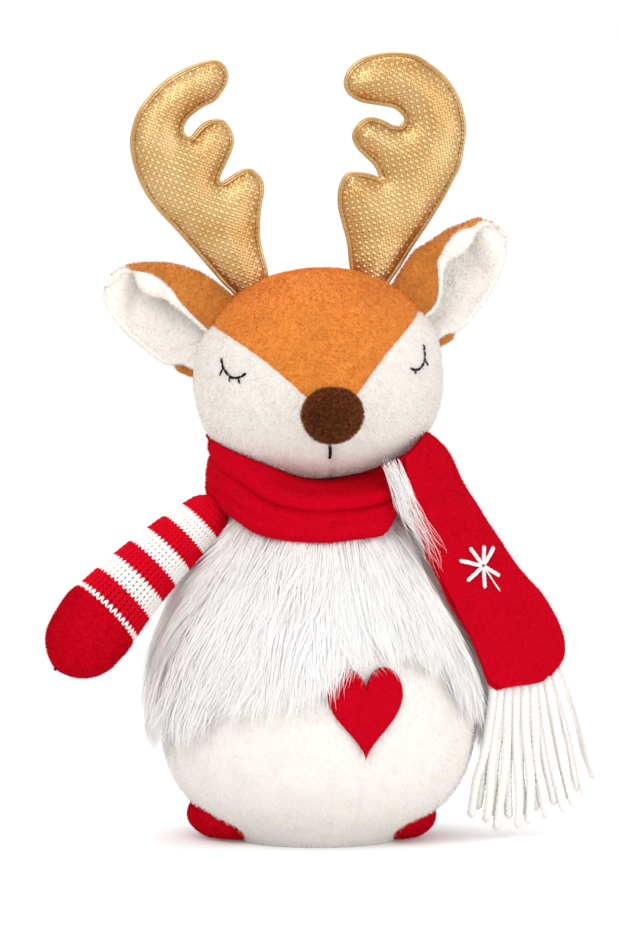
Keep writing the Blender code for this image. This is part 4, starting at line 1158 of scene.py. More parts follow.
def arm_radius(side, s):
    deep = np.clip(-s / ARM_ROOT[side], 0.0, 1.0)
    dome = np.sqrt(1.0 - np.clip((deep - 0.6) / 0.4, 0.0, 1.0) ** 2)
    return np.where(s < 0, (13.6 - 3.4 * deep**1.5) * dome, arm_line(s))


CUFF = 56.0  # how far along the arm the knit ends
WALES = 39
BANDS = 4  # courses in a band
TOP_BAND = 25  # first course of the red band that runs on under the scarf


def knit_red(course):
    """Whether a course, counted up from the mitten, is red: a thin white cuff, then even bands."""
    return course >= 1 and int((min(course, TOP_BAND) - 1) / BANDS) % 2 == 0


def knit_arms(side):
    """Stocking stitch as it is made: each course's yarn loops through the one before, in columns of V."""
    parts = {True: [], False: []}
    t = np.linspace(0.0, 1.0, 7)
    swing = 0.10 + 0.36 * np.sin(t * math.pi * 0.5) ** 1.2
    lift = 0.55 * np.sin(math.pi * np.clip(t * 1.05, 0, 1)) ** 0.8 - 0.55 * (t > 0.8) * (t - 0.8) * 5
    size = 0.46 + 0.20 * np.sin(math.pi * t) ** 0.7
    for wale in range(WALES):
        for course in range(int((CUFF + 0.4 + ARM_ROOT[side]) / COURSE)):
            s = CUFF - course * COURSE + 0.4 - t * COURSE * 1.52
            radius = np.maximum(arm_radius(side, s) - 1.0 + lift, 0.2)
            for leg in (-1.0, 1.0):
                turn = (wale + leg * swing) * 2 * math.pi / WALES
                parts[knit_red(course)].append(tube_mesh(arm_points(side, s, turn, radius), size, 5))
    return parts


def make_sleeves():
    for side in SIDES:
        columns, rows = 84, 60
        s, turn = np.meshgrid(np.linspace(-ARM_ROOT[side], CUFF + 0.2, rows), turns(columns), indexing="ij")
        outer = arm_points(side, s, turn, np.maximum(arm_radius(side, s) - 1.15, 0.1))
        inner = arm_points(side, s, turn, np.maximum(arm_radius(side, s) - 2.0, 0.05))
        tube = double_tube(outer, inner, rows, columns)
        # The ground tube under the stitches is coloured with painted shade, band by band, so the gaps between
        # the stitches read dark.
        ground = outward(add_mesh(f"{side}_sleeve_ground", *tube, [yarn_red_deep, yarn_white_deep], BODY))
        ahead, _, _ = arm_axes(side)
        pivot = pivot_of(side)
        for polygon in ground.data.polygons:
            at = in_body_frame(np.array(polygon.center) / MM)
            course = int((CUFF - float((at - pivot) @ ahead)) / COURSE)
            polygon.material_index = 0 if knit_red(max(course, 0)) else 1
        finish_piece(ground, f"{side}_arm", "striped_knit", f"{side}_sleeve", f"{side}_arm_stuffing")
        parts = knit_arms(side)
        for name, red, surface in (("red", True, yarn_red), ("white", False, yarn_white)):
            stitches = add_mesh(f"{side}_sleeve_{name}_stitches", *merged(parts[red]), surface, BODY)
            finish_piece(stitches, f"{side}_arm", "striped_knit")


def make_mittens():
    """Fleece with a rounded tip, a seam round its edge and a gathered line where the knit is sewn on."""
    columns, rows = 120, 70
    for side in SIDES:
        s, turn = np.meshgrid(np.linspace(0.0, 1.0, rows), turns(columns), indexing="ij")
        run = MITTEN_START + (MITTEN_TIP - MITTEN_START) * np.sin(s * math.pi / 2)
        radius = arm_line(run) + 0.1
        start = np.clip((run - MITTEN_START) / 3.2, 0.0, 1.0)
        radius = radius - 1.3 * (1.0 - start) ** 2 - 0.35 * (1 - start) * np.cos(turn * 26)
        edge_seam = np.abs(np.sin(turn))
        radius = radius - 0.8 * np.exp(-(((1.0 - edge_seam) * 28.0) ** 2)) * start
        place = arm_points(side, run, turn, radius)
        ahead, _, _ = arm_axes(side)
        pivot = pivot_of(side)
        way = unit(place - pivot - ahead * run.ravel()[:, None])
        soft = 0.75 * lattice_noise(place, 16.0, 61) + 0.3 * lattice_noise(place, 6.0, 62)
        place = place + way * soft[:, None]
        faces = grid_faces(rows, columns, ring_closed=True)
        mitten = outward(add_mesh(f"{side}_mitten_fleece", place, faces, red_fleece, BODY))
        thicken(mitten, 1.4)
        finish_piece(mitten, f"{side}_arm", "red_fleece", f"{side}_mitten")
        nap(f"{side}_mitten_fuzz", mitten, red_fibre, 26000, 0.8, 0.2, (0, 0, 0), 17)


# Ears: a leaf folded along its length, its lining rolled out over the free edge

EAR_CURVES = {  # x, z in the head's frame, each from the head to the tip
    "right": {
        "top": [
            (-40.3, 41.4), (-46, 46.9), (-54.2, 53.1), (-62, 56.7), (-69.4, 59.2), (-77.9, 60.4),
            (-84.4, 60.4), (-90.6, 59.3), (-96.8, 56.7), (-101.5, 53.6), (-104.4, 50.4),
        ],
        "low": [
            (-63.3, 3.3), (-68.7, 6.2), (-76, 10.3), (-82.7, 15.3), (-88.4, 20.8), (-94.6, 26.8),
            (-100.2, 33.8), (-103.4, 39.6), (-105.1, 44.8), (-104.8, 49.3),
        ],
        "free": [
            (-52.4, 25.7), (-54.8, 27.9), (-60.4, 33.8), (-65.6, 39.3), (-69.4, 43.6), (-73.5, 48.9),
            (-79.4, 52.6), (-85.2, 56.2), (-90.6, 58.1), (-97.6, 56.2), (-103, 51.8),
        ],
        "roll": [
            (0, 1.1), (0.25, 1.5), (0.42, 2.6), (0.56, 4.6), (0.66, 4.4), (0.74, 2.2),
            (0.84, 1.3), (1, 1),
        ],
        "inset": 2.2,
    },
    "left": {
        "top": [
            (40.2, 39.9), (46.5, 48.6), (52.8, 56.1), (58.6, 59.2), (65.3, 62.8), (71.6, 66.3),
            (78.2, 67.9), (82.3, 69.1), (86.9, 69.7), (91.4, 68.9), (95.3, 66.6), (98.6, 63.3),
            (99.6, 60.6),
        ],
        "low": [
            (61.9, 9), (68.2, 12.1), (72.4, 15.8), (78.3, 20.9), (84.2, 27.1), (89.7, 33.7),
            (94.2, 40.9), (97.6, 47.7), (99.5, 54.2), (99.9, 59.2),
        ],
        "free": [
            (53.9, 25.3), (58.7, 29), (61.6, 34.2), (62.8, 41.3), (63.3, 46.9), (64.6, 52.6),
            (67.4, 56.6), (71.6, 59.8), (76.4, 63), (81.6, 65.8), (87, 67.6), (92.4, 67.4),
            (98, 62.6),
        ],
        "roll": [
            (0, 1.1), (0.30, 1.5), (0.45, 2.6), (0.58, 4.4), (0.70, 4.4), (0.80, 2.4),
            (0.88, 1.3), (1, 1),
        ],
        "inset": 1.6,
    },
}
EAR_ROWS = 76
EAR_SLACK = 10  # rows of the ear's base that reach into the head's seam


def even_line(points, count):
    """A smooth line through the points, read at even steps of its length."""
    fine = smooth_line(points, 20)
    along = distance_along(fine)
    at = np.linspace(0.0, along[-1], count)
    return np.stack([np.interp(at, along, fine[:, k]) for k in range(fine.shape[1])], 1)


def ear_grid(side):
    """The ear's middle surface: rows from the head to the tip, each from the low edge over the fold."""
    curves = EAR_CURVES[side]
    low, top, free = (even_line(curves[key], EAR_ROWS) for key in ("low", "top", "free"))
    for line in (low, top, free):
        line[:, 0] = SIDES[side] * (50.0 + (np.abs(line[:, 0]) - 50.0) * 0.974)
    span = low - top
    reach = np.maximum(np.linalg.norm(span, axis=1), 1e-6)
    opened = eased((np.linspace(0.0, 1.0, EAR_ROWS) - 0.62) / 0.2)
    inset = curves["inset"] * (1.0 - 0.8 * opened)
    top = top + span / reach[:, None] * np.minimum(inset, reach * 0.3)[:, None]
    free = free + span / reach[:, None] * np.minimum(inset * 0.6, reach * 0.3)[:, None]
    low = low + span / reach[:, None] * 1.4
    rows = []
    for i in range(EAR_ROWS):
        t = i / (EAR_ROWS - 1)
        span = top[i] - low[i]
        spread = float(opened[i])
        cup = (7.6 * math.sin(math.pi * min(0.86 * t + 0.13, 1.0)) + 0.6) * (1.0 - 0.85 * spread)
        fall = free[i] - top[i]
        reach = np.linalg.norm(span)
        fold = min(5.5, reach * 0.16) * (1.0 - 0.3 * t) * (1.0 - 0.9 * spread)
        wave = 0.9 * math.sin(9.0 * t + 1.0) * t
        control = [
            (*low[i], -0.6 + wave * 0.5),
            (*(low[i] + span * 0.10), 0.35 * cup),
            (*(low[i] + span * 0.30), 0.86 * cup),
            (*(low[i] + span * 0.55), cup),
            (*(low[i] + span * 0.82), 0.82 * cup),
            (*(low[i] + span * 0.975), 0.35 * cup - 0.5),
            (*top[i], -fold * 0.35),
            (*(top[i] + fall * 0.22), -fold * 1.05),
            (*(top[i] + fall * 0.62), -fold * 1.25 - 0.6 * (1.0 - 0.7 * spread)),
            (*free[i], -fold * 1.1 + (0.4 * wave - 1.2) * (1.0 - 0.7 * spread)),
        ]
        line = smooth_line([(p[0], p[2] + 4.0, p[1]) for p in control], 5)
        rows.append(line)
    grid = np.array(rows)
    base = [grid[0] * np.array([1.0 - 0.013 * k, 1.0, 1.0 - 0.013 * k]) for k in range(EAR_SLACK, 0, -1)]
    return np.concatenate([np.array(base), grid])


def grid_normals(grid):
    """Unit normals of a grid of points, rows by columns."""
    down = np.gradient(grid, axis=0)
    across = np.gradient(grid, axis=1)
    return unit(np.cross(down, across))


def sheet_rim(rows, columns):
    """Quads round the edge of a sheet whose two sides are grids of points, one after the other."""
    ring = list(range(columns)) + [r * columns + columns - 1 for r in range(1, rows)]
    ring += [(rows - 1) * columns + c for c in range(columns - 2, -1, -1)]
    ring += [r * columns for r in range(rows - 2, 0, -1)]
    count = rows * columns
    return [[i, j, j + count, i + count] for i, j in zip(ring, ring[1:] + ring[:1])]


def thick_grid(grid, low, high):
    """Points and quads of a closed sheet between two offsets of a grid."""
    way = grid_normals(grid)
    rows, columns, _ = grid.shape
    a = (grid + way * low).reshape(-1, 3)
    b = (grid + way * high).reshape(-1, 3)
    faces = grid_faces(rows, columns)
    return np.vstack([a, b]), np.vstack([faces[:, ::-1], faces + len(a), sheet_rim(rows, columns)])


def ear_bend(obj):
    """Bakes the ear's placement into its mesh."""
    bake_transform(obj)


def ear_roll(side, grid):
    """The roll of lining along the free edge, thin at the head and full at the tip."""
    edge = grid[EAR_SLACK:, -1]
    before = grid[EAR_SLACK:, -4]
    count = len(edge)
    t = np.linspace(0.0, 1.0, count)
    size = Table(EAR_CURVES[side]["roll"])(t) + 0.25 * np.sin(t * 31.0) * t
    path = edge + unit(edge - before) * (size * 0.55)[:, None]
    path[:, 1] -= size * 0.35
    hook = hump(t - 0.5, 0.05)
    path[:, 1] += hook * 1.1
    points, faces = tube_mesh(path, size, 20)
    ring = points.reshape(count, 20, 3)
    squash = np.array([1.0, 0.78, 1.0])
    ring = path[:, None] + (ring - path[:, None]) * squash
    return capped((ring.reshape(-1, 3), faces))


def drawn_in(grid, columns, rows, share):
    """The grid with its low edge pulled in by some columns where share is 1, and its tip by some rows."""
    height, width, _ = grid.shape
    r = np.linspace(0.0, height - 1.0 - rows, height)
    c = np.linspace(0.0, 1.0, width)[None, :]
    start = columns * np.interp(r, np.arange(height), share)[:, None]
    c = start + (width - 1 - start) * c
    r = np.broadcast_to(r[:, None], c.shape)
    low_r, low_c = np.floor(r).astype(int), np.floor(c).astype(int)
    next_r, next_c = np.minimum(low_r + 1, height - 1), np.minimum(low_c + 1, width - 1)
    part_r, part_c = (r - low_r)[..., None], (c - low_c)[..., None]
    near = grid[low_r, low_c] * (1 - part_c) + grid[low_r, next_c] * part_c
    far = grid[next_r, low_c] * (1 - part_c) + grid[next_r, next_c] * part_c
    return near * (1 - part_r) + far * part_r


def make_ears():
    for side, sign in SIDES.items():
        grid = ear_grid(side)
        toward = grid_normals(grid)[EAR_SLACK + 30, 22]
        way = 1.0 if toward[1] < 0 else -1.0
        t = (np.arange(len(grid)) - EAR_SLACK) / (EAR_ROWS - 1)
        out_of_sight = np.clip((t - 0.10) / 0.12, 0.0, 1.0)
        behind = drawn_in(grid, 6.0, 2.0, out_of_sight)
        before = drawn_in(grid, 4.0, 0.0, 1.0 - out_of_sight)
        # The back wears the darkened copy of the orange plush: painted shade.
        back = outward(add_mesh(f"{side}_ear_plush", *thick_grid(behind, -1.5 * way, 0.0), painted_shade_ear_plush, HEAD))
        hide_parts(f"{side}_ear_back")
        sheet, roll = thick_grid(before, -0.7 * way, 1.6 * way), ear_roll(side, grid)
        inner = merged([quads_to_triangles(sheet), quads_to_triangles(roll)])
        # The lining wears the lightened copy of the white plush: painted light.
        lining = outward(add_mesh(f"{side}_ear_white", *inner, painted_light_lining, HEAD))
        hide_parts(f"{side}_ear_lining")
        for base, fibre, count, slot in (
            (back, ear_fibre, 26000, "orange_plush"),
            (lining, painted_light_lining_fibre, 30000, "white_plush"),
        ):
            at, normal = scatter(base, count, SEED + 18)
            rng = np.random.default_rng(SEED + 19)
            lean = unit(normal + rng.normal(scale=0.3, size=at.shape) + np.array([0.25 * sign, 0.0, 0.0]))
            size = 1.15 * rng.uniform(0.6, 1.15, len(at))[:, None]
            roots, mids, tips = at - normal * 0.2, at + normal * size * 0.5, at + lean * size
            pile = blades(f"{base.name}_nap", roots, tips, mids, 0.24, fibre)
            ear_bend(pile)
        ear_bend(back)
        ear_bend(lining)


# Antlers: two embossed panels, sewn round a flat rim and stuffed

ANTLER_OUTLINE = {  # x, z in the head's frame, up the inner edge and down the outer one
    "right": [
        (-21.4, 49.9), (-24, 65.3), (-23.8, 76.3), (-22.2, 85.8), (-20.9, 90.7), (-21, 96.8),
        (-24.2, 101.5), (-28.1, 103.8), (-34.3, 101.8), (-41, 98.2), (-42.4, 99.9), (-39, 106.6),
        (-36.1, 112), (-34.2, 118.4), (-35.8, 124.5), (-39.1, 128.8), (-43.1, 129.6), (-48.2, 128.4),
        (-52.9, 124.8), (-55.6, 121.9), (-58.1, 122.6), (-58.9, 125.2), (-58.2, 128.2), (-55, 132),
        (-48.7, 136), (-42.5, 138.6), (-38.2, 143.3), (-35.3, 148.6), (-35.1, 152.6), (-36.8, 156.3),
        (-40.7, 159.1), (-45.7, 158.9), (-52.4, 157.4), (-60.1, 154.4), (-67.9, 150), (-74.8, 143.9),
        (-81.3, 136.4), (-84.9, 128.1), (-86.4, 120.7), (-85.9, 112.6), (-83.9, 103.9), (-80.5, 95.1),
        (-74.5, 85.6), (-66.6, 75.9), (-59.2, 66.3), (-50.4, 54.6), (-44.3, 46.6), (-39.6, 41.2),
        (-36, 34), (-23, 38),
    ],
    "left": [
        (19.9, 49.9), (19.2, 62.1), (17.3, 72.3), (15.8, 81), (16.3, 89), (18.7, 94.9),
        (22.4, 98.1), (28.5, 97.7), (33.4, 96.3), (36.9, 95.1), (35.2, 100.2), (30.5, 105.6),
        (26.7, 110.4), (25.1, 116.1), (27.4, 120.9), (31.6, 124.2), (36.2, 124.8), (41.1, 123),
        (46, 120.1), (49.5, 119.8), (51.7, 122.2), (50.3, 125.3), (46.5, 128.6), (38.6, 130.7),
        (30.6, 132.8), (24.8, 136.7), (22.6, 141.4), (23.4, 146.4), (27.3, 151.6), (34.1, 155.2),
        (42.2, 156.6), (50.3, 156.5), (59.7, 154.3), (67.4, 148.7), (74.1, 142.2), (79.1, 133.8),
        (81.6, 125.6), (82.6, 115.9), (80.9, 106), (78.3, 96.6), (73.8, 88.8), (67.7, 79.2),
        (60.5, 69.1), (51.7, 57.7), (44.5, 47.6), (39, 40.5), (35.5, 34), (23, 38),
    ],
}
ANTLER_Y = 6.0
ANTLER_PUFF = 7.6
FLANGE = 1.8
STAMP = 2.95  # pitch of the embossed studs
STAMP_TURN = {"right": math.radians(-24.0), "left": math.radians(7.0)}


def emboss(flat, turn):
    """Height at each point of the panel of small square studs, each in a sunk square between raised lines."""
    c, s = math.cos(turn), math.sin(turn)
    warp = 0.10 * lattice_noise(np.stack([flat[:, 0], np.zeros(len(flat)), flat[:, 1]], 1), 16.0, 73)
    u = (flat[:, 0] * c + flat[:, 1] * s) / STAMP + warp
    v = (-flat[:, 0] * s + flat[:, 1] * c) / STAMP - warp
    u, v = np.abs(u - np.round(u)), np.abs(v - np.round(v))
    square = (u**4 + v**4) ** 0.25
    stud = np.clip((0.33 - square) / 0.16, 0.0, 1.0)
    line = np.clip((np.maximum(u, v) - 0.38) / 0.08, 0.0, 1.0)
    return np.maximum(stud, 0.75 * line)


def antler_heights(flat, away):
    inner = np.clip(away - FLANGE, 0.0, None)
    puff = ANTLER_PUFF * (1.0 - np.exp(-inner / 5.5))
    place = np.stack([flat[:, 0], np.zeros(len(flat)), flat[:, 1]], 1)
    pucker = hump(away - FLANGE - 1.2, 2.2) * lattice_noise(place, 3.6, 71) * 0.38
    slack = lattice_noise(place, 11.0, 72) * 0.35 * np.clip(inner / 4.0, 0.0, 1.0)
    return puff + pucker + slack


def make_antlers():
    for side in SIDES:
        outline = ANTLER_OUTLINE[side]
        edge = even_line(np.vstack([smooth_line(outline, 6, closed=True), outline[0]]), 560)[:-1]
        flat, triangles = fill_edge(edge, 0.46, (0.5, 1.1, 1.7, 2.3, 2.9))
        away = distance_to_edge(flat, edge)
        height = antler_heights(flat, away)
        inside = np.clip((away - FLANGE - 0.4) / 0.5, 0.0, 1.0)
        seam_groove = 0.5 * hump(away - FLANGE, 0.5)
        for name, way in (("front", -1.0), ("back", 1.0)):
            stamped = emboss(flat, STAMP_TURN[side] + (0.3 if way > 0 else 0.0))
            raised = 0.6 * stamped * inside
            top = 0.35 + 0.85 * np.sqrt(np.clip(away / 0.8, 0.02, 1.0)) + height + raised - seam_groove
            outer = np.stack([flat[:, 0], ANTLER_Y + way * top, flat[:, 1]], 1)
            low = np.maximum(height - 0.7, 0.0) + 0.12
            inner = np.stack([flat[:, 0], ANTLER_Y + way * low, flat[:, 1]], 1)
            points, faces = closed_sheet(outer, inner, triangles)
            panel = outward(add_mesh(f"{side}_antler_{name}_foil", points, faces, gold_foil, HEAD))
            # The stamp attribute carries painted shade and highlight into the foil's colour: darker in the
            # emboss's hollows, lighter on its studs, and a middle shade on the flat rim.
            shown = np.ones(len(points), np.float32)
            shown[: len(flat)] = inside * stamped + (1.0 - inside) * 0.45
            panel.data.attributes.new("stamp", "FLOAT", "POINT").data.foreach_set("value", shown)
            nodes = [f"{side}_antler_{name}"] + ([f"{side}_antler_stuffing"] if name == "front" else [])
            finish_piece(panel, "torso", "gold_embossed", *nodes)
        make_topstitch(side, edge)


def make_topstitch(side, edge):
    """A running stitch through the flat rim, seen on both faces."""
    line = edge + inward_of(edge) * 1.05
    steps = distance_along(line)
    pitch, part = 2.3, 0.72
    parts = []
    for k in range(int(steps[-1] / pitch)):
        at = np.linspace(k * pitch, (k + part) * pitch, 5)
        x, z = np.interp(at, steps, line[:, 0]), np.interp(at, steps, line[:, 1])
        if z.mean() < 52.0:
            continue
        bulge = 0.28 * np.sin(math.pi * np.linspace(0, 1, 5))
        for way in (-1.0, 1.0):
            y = ANTLER_Y + way * (1.12 + bulge)
            parts.append(tube_mesh(np.stack([x, y, z], 1), 0.24, 5))
    thread = add_mesh(f"{side}_antler_topstitch", *merged(parts), gold_thread, HEAD)
    finish_piece(thread, "torso", "gold_embossed")


# Scarf: a turn round the neck, an end that hangs over the arm, a snowflake and a fringe

WRAP_TOP = Table([(0.0, 183.3), (25.0, 185.2), (50.0, 194.0), (85.0, 202.0), (120.0, 202.0), (180.0, 200.0)])
WRAP_LOW = Table([(0.0, 155.0), (35.0, 158.0), (65.0, 166.5), (112.0, 168.0), (140.0, 165.0), (180.0, 164.0)])
WRAP_OUT = Table([(150.0, 64.5), (158.0, 61.5), (168.0, 57.8), (178.0, 56.2), (190.0, 55.6), (204.0, 54.5)])
WRAP_ROLL = 7.0  # height of the soft upper edge that turns in against the chin
WRAP_END = (36.0, 43.0)  # degrees over which the turn tucks in beside its hanging end
TAIL_EDGES = {  # the hanging end's long edges, from the neck down
    "inner": [
        (37.9, -43, 195.7), (39.1, -46, 184.9), (42.9, -48.5, 169.0), (50.0, -48, 150.6),
        (57.8, -46, 134.1), (65.3, -42, 118.4), (72.9, -37, 103.1), (79.4, -33, 87.9),
        (84.1, -31, 81.1), (89.4, -29, 77.2),
    ],
    "outer": [
        (51.4, -20, 205.0), (57.6, -19, 200.8), (64.1, -15, 193.2), (71.0, -12, 179.6),
        (78.7, -10, 168.2), (85.5, -8, 157.8), (100.0, -5, 136.0), (113.8, -3, 119.5),
        (121.4, -3, 105.7), (123.8, -4, 95.2), (122.1, -6, 87.9), (114.2, -9, 79.2),
    ],
}
FLEECE = 1.8


def neck_wall(angle, z):
    """Distance of the head's surface from the upright axis, at an angle and a height."""
    tilt = math.sin(HEAD_TILT)
    reach = np.full(angle.shape, 40.0)
    for _ in range(4):
        x, y, up = np.sin(angle) * reach, -np.cos(angle) * reach, z - HEAD_AT.z
        across, high = x - tilt * up, up + tilt * x
        level = np.sqrt(np.clip(1.0 - np.abs(high / HEAD_LOW) ** 2.6, 0.03, 1.0))
        depth = np.where(y < 0, HEAD_FRONT + 1.0, HEAD_BACK)
        reach = reach / np.maximum(np.hypot(across / (HEAD_W * level), y / (depth * level)), 1e-3)
    return reach


def make_wrap():
    """A soft band of folded fleece, creased along its length, that turns in against the chin."""
    columns, rows = 340, 76
    angle, share = np.meshgrid(turns(columns), np.linspace(0.0, 1.0, rows), indexing="ij")
    signed = wrapped_degrees(angle)
    degrees = np.abs(signed)
    before = 1.0 - eased((signed - 72.0) / 12.0)
    ended = eased((signed - WRAP_END[0]) / (WRAP_END[1] - WRAP_END[0])) * before
    corner = eased((signed - WRAP_END[0] + 12.0) / 16.0) * before
    droop = 1.2 * np.sin(angle * 3.0 + 0.6) + 0.6 * np.sin(angle * 7.0)
    top, low = WRAP_TOP(degrees) - 3.0 * corner, WRAP_LOW(degrees) + 0.4 * droop + 7.0 * corner**2
    roll = np.clip((share - 0.8) / 0.2, 0.0, 1.0) * math.pi / 2
    rise = top - WRAP_ROLL
    z = np.where(share < 0.8, low + (rise - low) * share / 0.8, rise + WRAP_ROLL * np.sin(roll))
    notch = hump(signed + 78.0, 11.0)
    line_a = 0.66 - 0.10 * np.cos(np.radians(signed * 1.3))
    line_b = 0.34 + 0.05 * np.sin(angle * 2.0)
    crease = 2.1 * hump(share - line_a, 0.05) * (0.45 + 0.55 * np.sin(angle * 2.3 + 0.8) ** 2)
    crease += 1.2 * hump(share - line_b, 0.06) * (0.3 + 0.7 * np.cos(angle * 1.7 + 0.3) ** 2)
    crease += 2.2 * notch * hump(share - 0.55, 0.12)
    belly = 1.1 * np.sin(math.pi * np.clip((share - line_a) / (1.0 - line_a), 0, 1))
    belly += 1.3 * np.sin(math.pi * np.clip(share / line_a, 0, 1))
    place = about_axis(angle, 55, z).reshape(-1, 3)
    soft = 0.7 * lattice_noise(place, 15.0, 81) + 0.25 * lattice_noise(place, 5.0, 82)
    hem = np.clip(1.0 - 2.0 * share, 0.0, 1.0)
    outside = WRAP_OUT(z) - 4.2 * hem**5 - crease + belly - 0.9 + soft.reshape(share.shape) - 6.5 * ended
    neck = neck_wall(angle, z) + 2.2
    outside = neck + (outside - neck) * np.cos(roll)
    body = about_axis(angle - BODY_TURN, outside, z).reshape(-1, 3)
    wall = cover_radius(body).reshape(share.shape) + 1.2
    inside = np.maximum(np.minimum(wall, outside - 2.4), outside - 9.0 + 4.2 * hem**5)
    inside = np.maximum(inside, np.minimum(np.maximum(wall, neck - 1.8), outside - 1.4))
    ring = np.concatenate([about_axis(angle, outside, z), about_axis(angle, inside, z)[:, ::-1]], 1)
    count = ring.shape[1]
    faces = grid_faces(columns, count, ring_closed=True, row_closed=True)
    wrap = outward(add_mesh("scarf_wrap_fleece", ring.reshape(-1, 3), faces, red_fleece))
    finish_piece(wrap, "torso", "red_fleece", "scarf_wrap")
    nap("scarf_wrap_fuzz", wrap, red_fibre, 52000, 0.8, 0.2, (0, 0, 0), 20, outer_side)


def outer_side(at):
    return np.hypot(at[:, 0], at[:, 1]) > 47.0


def tail_edges(count):
    return (even_line(TAIL_EDGES[key], count) for key in ("inner", "outer"))


def clear_of_body(p, gap):
    """Points moved out from the upright axis until they clear the body, its fur and the neck."""
    wall = cover_radius(in_body_frame(p)) + gap
    wall = np.where(p[:, 2] > 150.0, np.maximum(wall, 53.5), wall)
    reach = np.hypot(p[:, 0], p[:, 1])
    push = np.where(reach < wall, wall / np.maximum(reach, 1e-6), 1.0)
    moved = p.copy()
    moved[:, 0] *= push
    moved[:, 1] *= push
    return moved


def tail_layer(rows, columns, lift, seed):
    """A layer of the hanging end as a grid of points, lifted off the middle of the cloth."""
    inner, outer = tail_edges(rows)
    t = np.linspace(0.0, 1.0, rows)[:, None]
    u = np.linspace(-1.0, 1.0, columns)[None, :]
    p = inner[:, None] + (outer - inner)[:, None] * ((u + 1.0) / 2.0)[..., None]
    out = grid_normals(p)
    out *= np.where(out[..., 1:2] > 0, -1.0, 1.0)
    bulge = 3.2 * (1.0 - u**2) * (1.0 - 0.5 * t)
    fold = 0.9 * np.sin(u * 3.6 + 0.9 + 0.8 * t) * np.clip(t * 4.0, 0, 1) * (1.0 - 0.55 * t**4)
    fold += 0.45 * np.sin(u * 6.5 - 3.0 * t + seed) * np.clip(t * 3.0, 0, 1) * (1.0 - t**4)
    p = p + out * (lift + bulge + fold)[..., None]
    flat = p.reshape(-1, 3)
    soft = 0.5 * lattice_noise(flat, 12.0, 91 + seed) + 0.15 * lattice_noise(flat, 4.5, 92 + seed)
    return (flat + out.reshape(-1, 3) * soft[:, None]).reshape(rows, columns, 3)


def make_tail():
    """Two layers of fleece, the lower one showing along the inner edge, turned in and sewn at the end."""
    rows, columns = 150, 60
    inner, outer = tail_edges(rows)
    aside = (inner - outer) / np.linalg.norm(inner - outer, axis=1)[:, None]
    t = np.linspace(0.0, 1.0, rows)
    layers = []
    for low, sway, seed in ((1.5, 0.0, 0), (-2.2, 2.0, 3)):
        lift = low * (1.0 - 0.6 * t[:, None] ** 8)
        grid = tail_layer(rows, columns, lift, seed)
        grid = grid + (aside * (sway * np.clip(t * 3.0 - 1.6, 0.0, 1.0))[:, None])[:, None]
        grid = clear_of_body(grid.reshape(-1, 3), 1.6).reshape(rows, columns, 3)
        layers.append(rounded_sheet(grid, FLEECE))
    over, under = layers
    tail = outward(add_mesh("scarf_tail_fleece", *over, red_fleece))
    finish_piece(tail, "tail", "red_fleece", "scarf_tail")
    lining = outward(add_mesh("scarf_tail_under", *under, red_fleece))
    finish_piece(lining, "tail", "red_fleece")
    nap("scarf_tail_fuzz", tail, red_fibre, 34000, 0.8, 0.2, (0, 0, 0), 21)
    nap("scarf_under_fuzz", lining, red_fibre, 20000, 0.8, 0.2, (0, 0, 0), 22)
    return tail


def rounded_sheet(grid, thickness):
    """A closed sheet about a grid of points, with rounded edges."""
    rows, columns, _ = grid.shape
    way = grid_normals(grid)
    r = np.minimum(np.arange(rows), np.arange(rows)[::-1])[:, None]
    c = np.minimum(np.arange(columns), np.arange(columns)[::-1])[None, :]
    near = np.minimum(np.clip(r / 2.0, 0, 1), np.clip(c / 2.0, 0, 1))
    half = thickness / 2 * np.sqrt(1.0 - (1.0 - near) ** 2 * 0.85)
    a = (grid + way * half[..., None]).reshape(-1, 3)
    b = (grid - way * half[..., None]).reshape(-1, 3)
    faces = grid_faces(rows, columns)
    return np.vstack([a, b]), np.vstack([faces, faces[:, ::-1] + len(a), sheet_rim(rows, columns)])


SNOWFLAKE_AT = (79.7, 139.6)  # x and z of its middle
SNOWFLAKE_ENDS = [  # ends of the straight stitches, across and down from the middle
    (-13.1, -4.0), (-7.1, -9.6), (1.0, -9.6), (6.6, -8.1), (9.1, 6.1), (0.5, 11.1), (-9.1, 6.6),
]
SNOWFLAKE_TRAIL = (9.1, 13.6)


def cloth_tree(obj):
    mesh = obj.data
    points = [v.co / MM for v in mesh.vertices]
    return BVHTree.FromPolygons(points, [list(p.vertices) for p in mesh.polygons])


def make_snowflake(tail):
    """Straight stitches of plied yarn from the middle out, and one thin longer one."""
    tree = cloth_tree(tail)

    def lay(x, down, lift):
        start = Vector((SNOWFLAKE_AT[0] + x, -120.0, SNOWFLAKE_AT[1] - down))
        hit, _, _, _ = tree.ray_cast(start, Vector((0.0, 1.0, 0.0)))
        return None if hit is None else np.array(hit) + np.array([0.0, -lift, 0.0])

    parts = []
    stitches = [(end, 1.15) for end in SNOWFLAKE_ENDS] + [(SNOWFLAKE_TRAIL, 0.5)]
    for k, (end, size) in enumerate(stitches):
        t = np.linspace(0.06, 1.0, 14)
        bulge = size * 0.55 + 0.75 * np.sin(math.pi * t) ** 0.6
        path = [lay(end[0] * s, end[1] * s, b) for s, b in zip(t, bulge)]
        path = [p for p in path if p is not None]
        if len(path) > 4:
            parts.append(capped(tube_mesh(path, size, 12, 3, 0.26, 1.5, k, rounded=True)))
    flake = add_mesh("snowflake_yarn", *quads_to_triangles(merged(parts)), yarn_white)
    finish_piece(flake, "tail", "white_yarn", "snowflake")


